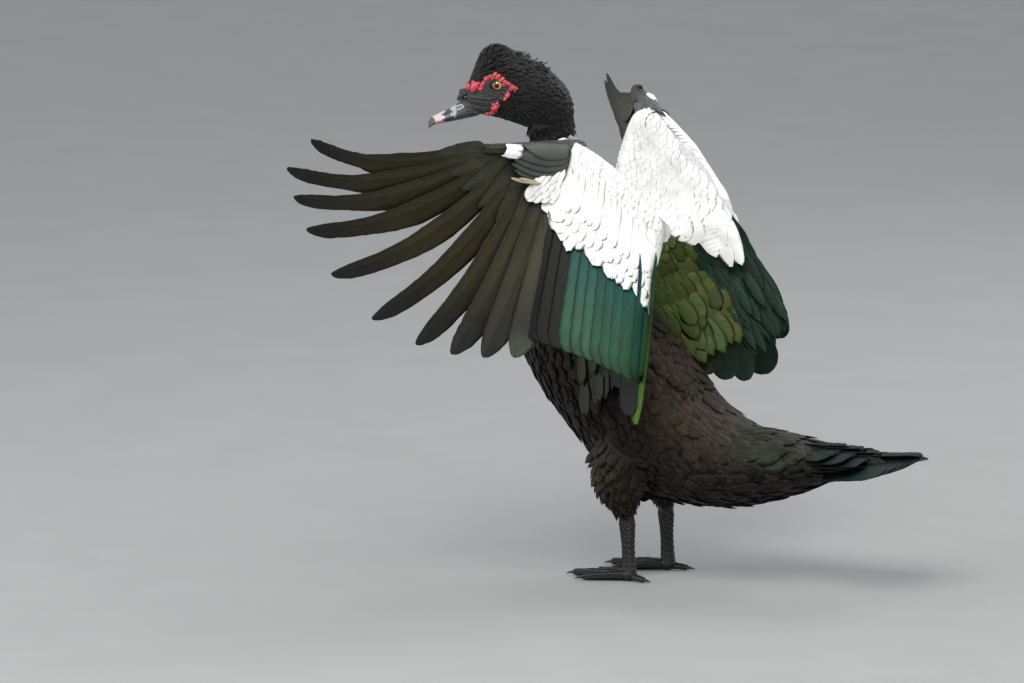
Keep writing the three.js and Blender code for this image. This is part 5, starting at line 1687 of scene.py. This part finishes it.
def eyes():
    """Wet balls with pupil, red-brown inner ring, yellow iris and dark margin."""
    angles = [0] + [a for a, _ in IRIS_RINGS]
    colours = np.array([IRIS_RINGS[0][1]] + [c for _, c in IRIS_RINGS])
    for side, name in ((-1, "right"), (1, "left")):
        coat = Coat()
        a = np.concatenate([np.linspace(0.02, 1.0, 56), np.linspace(1.05, math.pi - 0.03, 24)])[:, None]
        b = circle(64)[None, :]
        axis = head_dir(0.10, side, 0.02)
        up = unit(arr(0, 0, 1) - axis[2] * axis)
        ahead = np.cross(axis, up)
        out = (np.sin(a)[..., None] * (np.cos(b)[..., None] * ahead + np.sin(b)[..., None] * up)
               + np.cos(a)[..., None] * axis)
        bulge = 1 + 0.035 * np.exp(-(a / 0.55) ** 2)
        points = in_head(EYE[0], side * EYE[1], EYE[2]) + out * EYE_RADIUS * bulge[..., None]
        tint = np.stack([np.interp(a[:, 0], angles, colours[:, c]) for c in range(3)], -1)[:, None, :]
        streak = (1 + 0.22 * np.sin(b * 23 + 2 * np.sin(b * 9)) * smooth((a - 0.4) / 0.05)
                  * smooth((0.7 - a) / 0.05))
        closed_rings(coat, points, tint * streak[..., None], (0.95 if side > 0 else 0.97, 0.5))
        coat.build(f"eyeball_{name}", EYE_MAT, "iris", f"eye_{name}")


def lid_ring(coat, side, half_x, half_z, minor, out, tint, where, *, tilt=0.16, wave=0.0):
    """A soft lid as a closed ring round the eye."""
    ring, tube_sides = 72, 12
    b = circle(ring)
    c = circle(tube_sides)
    rx, rz = half_x * np.cos(b), half_z * np.sin(b)
    pinch = 1 + 0.12 * np.abs(np.cos(b)) ** 6
    x, z = (rx * pinch * math.cos(tilt) - rz * math.sin(tilt), rx * pinch * math.sin(tilt)
            + rz * math.cos(tilt))
    n = unit(np.stack([np.cos(b) / half_x, 0 * b, np.sin(b) / half_z], -1))
    thick = minor * (1 + wave * np.sin(b * 17 + 1))
    lateral = side * (out - 0.02 * rx ** 2 - 0.035 * rz ** 2)
    mid = np.stack([EYE[0] + x, lateral, EYE[2] + z], -1)
    p = (mid[:, None, :] + thick[:, None, None]
         * (np.cos(c)[None, :, None] * n[:, None, :] + np.sin(c)[None, :, None] * arr(0, side, 0)))
    p = in_head(p[..., 0], p[..., 1], p[..., 2])
    i, j = np.meshgrid(np.arange(ring), np.arange(tube_sides), indexing="ij")
    k, m = (i + 1) % ring, (j + 1) % tube_sides
    quads = np.stack([i * tube_sides + j, k * tube_sides + j, k * tube_sides + m, i * tube_sides + m],
                     -1).reshape(-1, 4)
    if side < 0:
        quads = quads[:, ::-1]
    total = ring * tube_sides
    place = np.broadcast_to(np.asarray(where, float), (total, 2))
    coat.add(p.reshape(-1, 3), quads, np.broadcast_to(tint, (total, 3)), place, place,
             np.ones(len(quads), bool))


# Red beads: head x, z and radius, mm
BEADS = ((93.4, 72.3, 3.9), (86.6, 73.4, 5.0), (80.5, 71.1, 2.3), (77.5, 77.4, 2.6), (74, 82.5, 2.8),
         (68.7, 85.3, 2.3), (64.2, 87.6, 2.6),
         (60.3, 85.9, 2.6), (56.4, 82.5, 2.9), (53, 79.6, 2.9), (49.7, 77.9, 2.4), (44.1, 73.4, 3.5),
         (40.7, 72.8, 2.1),
         (50.2, 64.9, 3.0), (53, 60.9, 2.1), (62, 55.3, 2.2), (63.7, 50.7, 3.3), (66.5, 45, 2.6),
         (72.6, 42.2, 2.2))
SMALL_BEADS = ((90.5, 68.6, 2.0), (83, 77, 1.9), (79, 74.4, 2.0), (75.6, 80.2, 2.1), (71.5, 84.6, 2.0),
               (66.6, 83.4, 1.8), (62, 83.6, 1.9),
               (58.8, 81.2, 1.8), (54.3, 76.5, 1.8), (47, 76.6, 2.2), (46.8, 72.0, 2.0), (42.4, 70.6, 1.9),
               (49.2, 68.4, 1.9),
               (60.5, 52.6, 1.8), (65.8, 54.2, 1.8), (67.2, 49.6, 1.9), (69.4, 43.2, 1.9), (63.0, 47.0, 1.7),
               (88.6, 78, 2.1), (95.8, 69, 2.2))
CORAL, CORAL_DARK = arr(0.52, 0.055, 0.072), arr(0.34, 0.06, 0.09)
KNOB_GREY, LID_BLACK, LID_OUTER = arr(0.026, 0.028, 0.036), arr(0.010, 0.010, 0.010), arr(0.018, 0.018, 0.018)
KNOBS = ((101.5, 4.5, 61.5, 3.6), (97.5, 5.5, 64.5, 3.4), (104.2, 3.2, 58.6, 2.4), (93.5, 6.5, 66.4, 3.0))


def caruncles():
    red, dark = Coat(), Coat()
    for side in (-1, 1):
        for k, (x, z, r) in enumerate(BEADS + SMALL_BEADS):
            y = float(face_side(arr(x), arr(z))[0]) - 0.9 + 0.25 * r
            axes = np.stack([head_dir(1, 0, RNG.normal(0, 0.4)), head_dir(0, side, 0), head_dir(0, 0, 1)])
            tint = CORAL * RNG.uniform(0.8, 1.2)
            if x > 90:
                tint = CORAL_DARK
            ball(red, in_head(x, side * y, z), (r * 1.05, r * 0.85, r * RNG.uniform(0.95, 1.15)), tint,
                 (0.52 + 0.01 * k, 0.515),
                 lumps=0.10, axes=axes)
        for x, y, z, r in KNOBS:
            ball(dark, in_head(x, side * y, z), (r, r, r * 0.95), KNOB_GREY, (0.9, 0.515), lumps=0.12)
        lid_ring(dark, side, 6.2, 5.1, 1.35, 24.6, LID_BLACK, (0.93, 0.515), wave=0.06)
        lid_ring(dark, side, 8.2, 7.0, 0.9, 24.0, LID_OUTER, (0.94, 0.515), wave=0.12)
    ball(dark, in_head(99, 0, 65.5), (5.0, 5.4, 3.8), KNOB_GREY, (0.9, 0.515), lumps=0.1)
    red.build("caruncles", RED_MAT, "bill", "head")
    dark.build("knob_and_lids", FACE_MAT, "bill", "head")


# Bill
BILL_GREY, BILL_PALE, BILL_BAND = arr(0.058, 0.062, 0.070), arr(0.36, 0.38, 0.42), arr(0.040, 0.044, 0.054)
BILL_PINK, BILL_MOUTH, NAIL_BLACK = arr(0.56, 0.47, 0.47), arr(0.50, 0.26, 0.26), arr(0.035, 0.030, 0.030)


def bill_tint(x, y, z):
    """Blue-grey horn with a pale bluish patch, a dark band, a pinkish tip and a dark nail."""
    out = np.broadcast_to(BILL_GREY, x.shape + (3,)) * 1.0
    wob = 1.2 * np.sin(z * 1.1) + 0.9 * np.sin(y * 1.3 + z * 0.7) + 0.6 * np.sin(x * 1.9)
    out = lerp(out, FACE_GREY * 1.3, smooth((97 - x) / 8)[..., None])
    patch = (smooth((x - 106.3 - wob * 0.6 - 0.25 * np.abs(z - 46)) / 1.6) * smooth((114.2 + wob - x) / 1.6)
             * smooth((z - 37.5 - 0.25 * (x - 109) + wob) / 2.5))
    out = lerp(out, BILL_PALE, patch[..., None] * 0.95)
    band = smooth((x - 112 - wob) / 1.5) * smooth((121.5 + wob - x) / 1.5)
    out = lerp(out, BILL_BAND, band[..., None] * (1 - patch[..., None]))
    tip = smooth((x - 120.6 - wob * 1.3) / 1.4)
    out = lerp(out, BILL_PINK, tip[..., None])
    mouth = np.interp(x, BILL_LINE[:, 0], BILL_LINE[:, 2])
    out = lerp(out, BILL_MOUTH, (tip * smooth((mouth + 3.2 - z) / 1.5) * 0.75)[..., None])
    nail = smooth((x - 134.2 + 0.35 * np.abs(y)) / 1.2)
    return lerp(out, NAIL_BLACK, nail[..., None] * 0.92)


def bill_rings(upper, steps=84, sides=22):
    """Half rounds along the bill: the upper one with its hooked nail, or the lower one under it."""
    line = BILL_LINE if upper else BILL_LINE[BILL_LINE[:, 0] < 134]
    line = line[np.linspace(0, len(line) - 1, steps).astype(int)]
    x, top, mouth, bottom, half = (line[:, k][:, None] for k in range(5))
    a = np.linspace(0, math.pi, sides)[None, :]
    rise = np.sin(a) ** 0.8
    if upper:
        nail = smooth((x - 129) / 7)
        lip = 0.45 * np.exp(-((rise - 0.16) / 0.1) ** 2)
        y, z = np.cos(a) * (half + lip), mouth + 0.15 + (top - mouth - 0.15) * rise
        z = (z + 0.9 * nail * np.exp(-(np.cos(a) * half / 4) ** 2) * rise
             - 1.6 * smooth((x - 133) / 5) * (1 - rise))
        inner_y, inner_z = np.cos(a[:, ::-1]) * (half - 1.6) * 0.98, mouth + 0.15 + 1.2 * np.sin(a) + 0 * x
    else:
        y, z = np.cos(a) * (half - 0.8), mouth - 0.15 - (mouth - 0.15 - bottom) * rise
        inner_y, inner_z = np.cos(a[:, ::-1]) * (half - 2.2), mouth - 0.15 - 0.8 * np.sin(a) + 0 * x
    yy, zz = np.concatenate([y, inner_y[:, 1:-1]], 1), np.concatenate([z, inner_z[:, 1:-1]], 1)
    xx = np.broadcast_to(x, yy.shape)
    if not upper:
        yy, zz = yy[:, ::-1], zz[:, ::-1]
    return xx, yy, zz


def carve(obj, cutters):
    """Cuts closed meshes out of an object's mesh and drops them."""
    for cutter in cutters:
        cut = obj.modifiers.new("hole", "BOOLEAN")
        cut.operation = "DIFFERENCE"
        cut.solver = "EXACT"
        cut.object = cutter
    done = bpy.data.meshes.new_from_object(obj.evaluated_get(bpy.context.evaluated_depsgraph_get()))
    obj.modifiers.clear()
    obj.data = done
    for cutter in cutters:
        bpy.data.objects.remove(cutter)


NOSTRIL_X, NOSTRIL_Z, NOSTRIL_HALF, NOSTRIL_RISE, NOSTRIL_SLANT = 104, 49.6, 4.1, 2.0, 0.25


def bill():
    """Both halves of the bill, the upper one pierced by the nostrils."""
    for upper, name, node in ((True, "upper_mandible", "bill_upper"),
                              (False, "lower_mandible", "bill_lower")):
        x, y, z = bill_rings(upper)
        coat = Coat()
        closed_rings(coat, in_head(x, y, z), bill_tint(x, y, z), (0.96, 0.6))
        verts, quads, tint, _, _, soft = (np.concatenate(v) for v in coat.lists)
        obj = make_object(name, verts, quads, BILL_MAT, tint=tint, soft=soft)
        if upper:
            holes = Coat()
            t = np.linspace(-9, 9, 8)
            a = circle(20)
            long, high = NOSTRIL_HALF * np.cos(a)[None, :], NOSTRIL_RISE * np.sin(a)[None, :]
            slant = NOSTRIL_SLANT * NOSTRIL_HALF * np.cos(a)[None, :]
            ring = np.stack([NOSTRIL_X + long + 0 * t[:, None], t[:, None] * 1.6 + 0 * a[None, :],
                             NOSTRIL_Z + high - slant + 0 * t[:, None]], -1)
            closed_rings(holes, in_head(ring[..., 0], ring[..., 1], ring[..., 2]), SOOT, (0, 0))
            hv, hq = np.concatenate(holes.lists[0]), np.concatenate(holes.lists[1])
            carve(obj, [make_object("nostril_cutter", hv, hq, BILL_MAT)])
        dress(obj, "bill", node)


# Legs
LEG_GREY, CLAW_BLACK = arr(0.018, 0.0185, 0.0165), arr(0.02, 0.018, 0.016)
SHANK_STEPS, SCUTE_STEP = 64, 3.1


def scutes(coat, root, along, normal, length, width, where):
    k = len(root)
    feathers(coat, root, along, normal, length, width, shade(k, LEG_GREY, 0.3),
             shade(k, LEG_GREY * 0.5, 0.2), where,
             nu=3, nv=3, curl=0.06, camber=0.2, ragged=0.02, tip=0.5, lift=0.06, rim_from=0.7)


def shank(coat, scales, side):
    knee, ankle, foot = (place_leg(p, side) for p in (KNEE, ANKLE, FOOT))
    line = catmull([lerp(knee, ankle, 0.5), ankle, foot + arr(0, 0, -2)], np.linspace(0, 1, SHANK_STEPS))
    share = np.linspace(0, 1, SHANK_STEPS)
    radius = np.interp(share, (0, 0.4, 0.5, 0.58, 0.75, 0.92, 1), (6.4, 7.2, 8.6, 7.6, 6.2, 6.8, 8.2))
    radius = np.convolve(np.pad(radius, 4, "edge"), np.ones(9) / 9, "valid")
    rings = path_rings(line, radius, 24, up=(1, 0, 0), flat=1.12)
    closed_rings(coat, rings, LEG_GREY * 0.7, (0.52 if side > 0 else 0.76, 0.54))
    d = unit(np.gradient(line, axis=0))
    run = run_length(line)
    pos, row = run[-1] * 0.3, 0
    while pos < run[-1] - 4:
        i = int(np.interp(pos, run, np.arange(SHANK_STEPS)))
        u = unit(np.cross(d[i], arr(1, 0, 0)))
        w = np.cross(u, d[i])
        for front, count, width, length in ((True, 3, 5.6, 4.6), (False, 9, 3.9, 3.8)):
            turn = np.linspace(-0.75, 0.75, count) if front else np.linspace(1.1, 2 * math.pi - 1.1, count)
            a = math.pi / 2 + turn + (0.12 if row % 2 else -0.12)
            out = np.cos(a)[:, None] * u + 1.12 * np.sin(a)[:, None] * w
            root = line[i] + out * (radius[i] - 0.1)
            scutes(scales, root, np.broadcast_to(d[i], (count, 3)), unit(out), length, width,
                   np.stack([0.6 + 0.1 * a / 6 + (0.24 if side > 0 else 0),
                             np.full(count, 0.54 + 0.0004 * pos)], -1))
        pos += SCUTE_STEP
        row += 1


def foot_parts(coat, scales, claws, side):
    ground = place_leg(FOOT, side) * arr(1, 1, 0)
    spine = []
    for angle, length, r in (*TOES, HIND_TOE):
        heading = arr(-math.cos(angle), side * math.sin(angle), 0)
        s = np.linspace(0, 1, 40)
        knuckle = 1 + 0.12 * sum(np.exp(-((s - k) / 0.05) ** 2) for k in (0.36, 0.66, 0.9))
        z = lerp(1.3 * r, 0.75 * r, s) + 1.4 * np.sin(s * math.pi) * (length / 70)
        path = ground + heading * (s * length)[:, None] + arr(0, 0, 1) * z[:, None]
        radius = lerp(1.15 * r, 0.75 * r, s) * knuckle * np.sqrt(np.clip((1.03 - s) / 0.08, 0.2, 1))
        closed_rings(coat, path_rings(path, radius, 16, flat=0.9), LEG_GREY * 0.8, (0.6, 0.57))
        spine.append(path)
        for k in np.arange(3, 38, 1.6 * 40 / length):
            i = int(k)
            spread = np.array([-0.9, 0.0, 0.9]) if length > 30 else np.array([0.0])
            across = np.cross(arr(0, 0, 1), heading)
            out = np.sin(spread)[:, None] * across + np.cos(spread)[:, None] * arr(0, 0, 1)
            root = path[i] + out * radius[i] * 0.92
            scutes(scales, root, np.broadcast_to(heading, (len(spread), 3)), out, 3.4, radius[i] * 1.05,
                   np.tile(arr(0.7 + 0.02 * angle, 0.57 + 0.0005 * k), (len(spread), 1)))
        end = path[-1]
        t = np.linspace(0, 1, 16)
        claw = (end + heading * (-3 + t * 12)[:, None]
                + arr(0, 0, 1) * (0.8 * np.sin(t * math.pi * 0.8) - (end[2] - 1.4) * t ** 2)[:, None])
        closed_rings(claws, path_rings(claw, lerp(2.5, 0.45, t ** 0.9), 14, flat=1.05), CLAW_BLACK,
                     (0.9, 0.57))
    for first, second in ((0, 1), (1, 2)):
        s, c = np.linspace(0.02, 0.97, 34)[:, None], np.linspace(0, 1, 22)[None, :]
        a, b = spine[first], spine[second]
        fade = s * (1 - 0.16 * np.sin(c * math.pi))
        pick = np.clip(fade * 39, 0, 39)
        low_i, w = np.minimum(pick.astype(int), 38), (pick - np.minimum(pick.astype(int), 38))[..., None]
        pa, pb = lerp(a[low_i], a[low_i + 1], w), lerp(b[low_i], b[low_i + 1], w)
        grid = lerp(pa, pb, c[..., None])
        sag = np.sin(c * math.pi)
        grid[..., 2] = np.maximum(grid[..., 2] * (1 - 0.62 * sag) - 0.4
                                  + 0.35 * np.sin(c * 26 + s * 3) * sag, 1.2)
        drop = np.zeros_like(grid)
        drop[..., 2] = np.minimum(1.3, grid[..., 2] - 0.15)
        slab(coat, grid, drop, LEG_GREY * 0.9, (0.65, 0.59))
    ball(coat, place_leg(FOOT, side) - arr(0, 0, 1.5), (9, 8.6, 7.4), LEG_GREY * 0.8, (0.66, 0.58))


def legs():
    for side, name in ((-1, "left"), (1, "right")):
        coat, scales, foot, foot_scales, claws = Coat(), Coat(), Coat(), Coat(), Coat()
        shank(coat, scales, side)
        foot_parts(foot, foot_scales, claws, side)
        coat.build(f"shank_{name}", LEG_MAT, "leg_skin", f"tarsus_{name}")
        scales.build(f"shank_scales_{name}", LEG_MAT, "leg_skin", f"tarsus_{name}")
        foot.build(f"webbed_foot_{name}", LEG_MAT, "leg_skin", f"foot_{name}")
        foot_scales.build(f"foot_scales_{name}", LEG_MAT, "leg_skin", f"foot_{name}")
        claws.build(f"claws_{name}", CLAW_MAT, "leg_skin", f"foot_{name}")


# Assembly
skin, TREE = build_skin()
dress(skin, "body_feathers", "torso", "neck", "head", "thigh_left", "thigh_right", "upper_arm_left",
      "upper_arm_right",
      "forearm_left", "forearm_right", "hand_left", "hand_right", "tail")
for the_pose, the_name in ((LEFT, "left"), (RIGHT, "right")):
    build_flight(the_pose, the_name)
    build_coverts(the_pose, the_name)
    fold_coat(the_pose, the_name)
    scapular_coat(the_pose, the_name)
trunk_coat(TREE)
thigh_coat(TREE)
tail_coat()
head_coat(TREE)
crown_flecks(TREE)
face_skin()
eyes()
caruncles()
bill()
legs()


# Floor, light, camera
VIEW_RIGHT = arr(0.891, 0.454, 0.0)
VIEW_UP = arr(-0.071, 0.139, 0.988)
VIEW_AHEAD = arr(-0.448, 0.880, -0.156)
VIEW_TARGET = VIEW_RIGHT * -151.2 + VIEW_UP * 261.5
VIEW_DISTANCE, VIEW_WIDTH, SENSOR = 12000.0, 1146.9, 36.0
FLOOR_HALF, FLOOR_TONE, FAR_CLIP = 9.0, (0.315, 0.335), 120
SKY, SKY_STRENGTH = (0.8, 0.82, 0.84, 1), 0.84
LIGHTS = (("key", (0.7, -2.2, 2.6), (0, 0, 0.35), 1.5, 78, (1, 0.985, 0.96)),
          ("fill", (-2.4, -1.5, 1.3), (0, 0, 0.3), 2.0, 30, (0.93, 0.96, 1)),
          ("rim", (0.8, 2.2, 2.0), (0, 0, 0.4), 1.6, 30, (1, 1, 1)))


def place_camera():
    ahead = unit(VIEW_AHEAD)
    right = unit(np.cross(ahead, unit(VIEW_UP)))
    up = np.cross(right, ahead)
    data = bpy.data.cameras.new("camera")
    cam = new_object("camera", data)
    turn = Matrix(((right[0], up[0], -ahead[0]), (right[1], up[1], -ahead[1]), (right[2], up[2], -ahead[2])))
    cam.matrix_world = Matrix.Translation(Vector(to_row(VIEW_TARGET - ahead * VIEW_DISTANCE))) @ turn.to_4x4()
    data.sensor_width = SENSOR
    data.lens = SENSOR * VIEW_DISTANCE / VIEW_WIDTH
    data.clip_end = FAR_CLIP
    bpy.context.scene.camera = cam


def area(name, place, aim, size, power, colour):
    data = bpy.data.lights.new(name, "AREA")
    data.size = size
    data.energy = power
    data.color = colour
    obj = new_object(name, data)
    obj.location = place
    obj.rotation_euler = (Vector(aim) - Vector(place)).to_track_quat("-Z", "Y").to_euler()


def floor():
    mat, nodes, links, bsdf = node_material("studio_floor")
    coords = nodes.new("ShaderNodeTexCoord")
    tone = spread(nodes, links, noise(nodes, links, coords.outputs["Object"], 9.0), *FLOOR_TONE)
    links.new(tone, bsdf.inputs["Base Color"])
    settle(bsdf, Roughness=0.85)
    mesh = bpy.data.meshes.new("floor")
    w = FLOOR_HALF
    mesh.from_pydata([(-w, -w, 0), (w, -w, 0), (w, w, 0), (-w, w, 0)], [], [(0, 1, 2, 3)])
    mesh.materials.append(mat)
    obj = new_object("floor", mesh)


floor()
place_camera()
for light in LIGHTS:
    area(*light)
bpy.context.scene.view_settings.view_transform = "Standard"
world = bpy.data.worlds.new("studio")
bpy.context.scene.world = world
world.use_nodes = True
world.node_tree.nodes["Background"].inputs[0].default_value = SKY
world.node_tree.nodes["Background"].inputs[1].default_value = SKY_STRENGTH
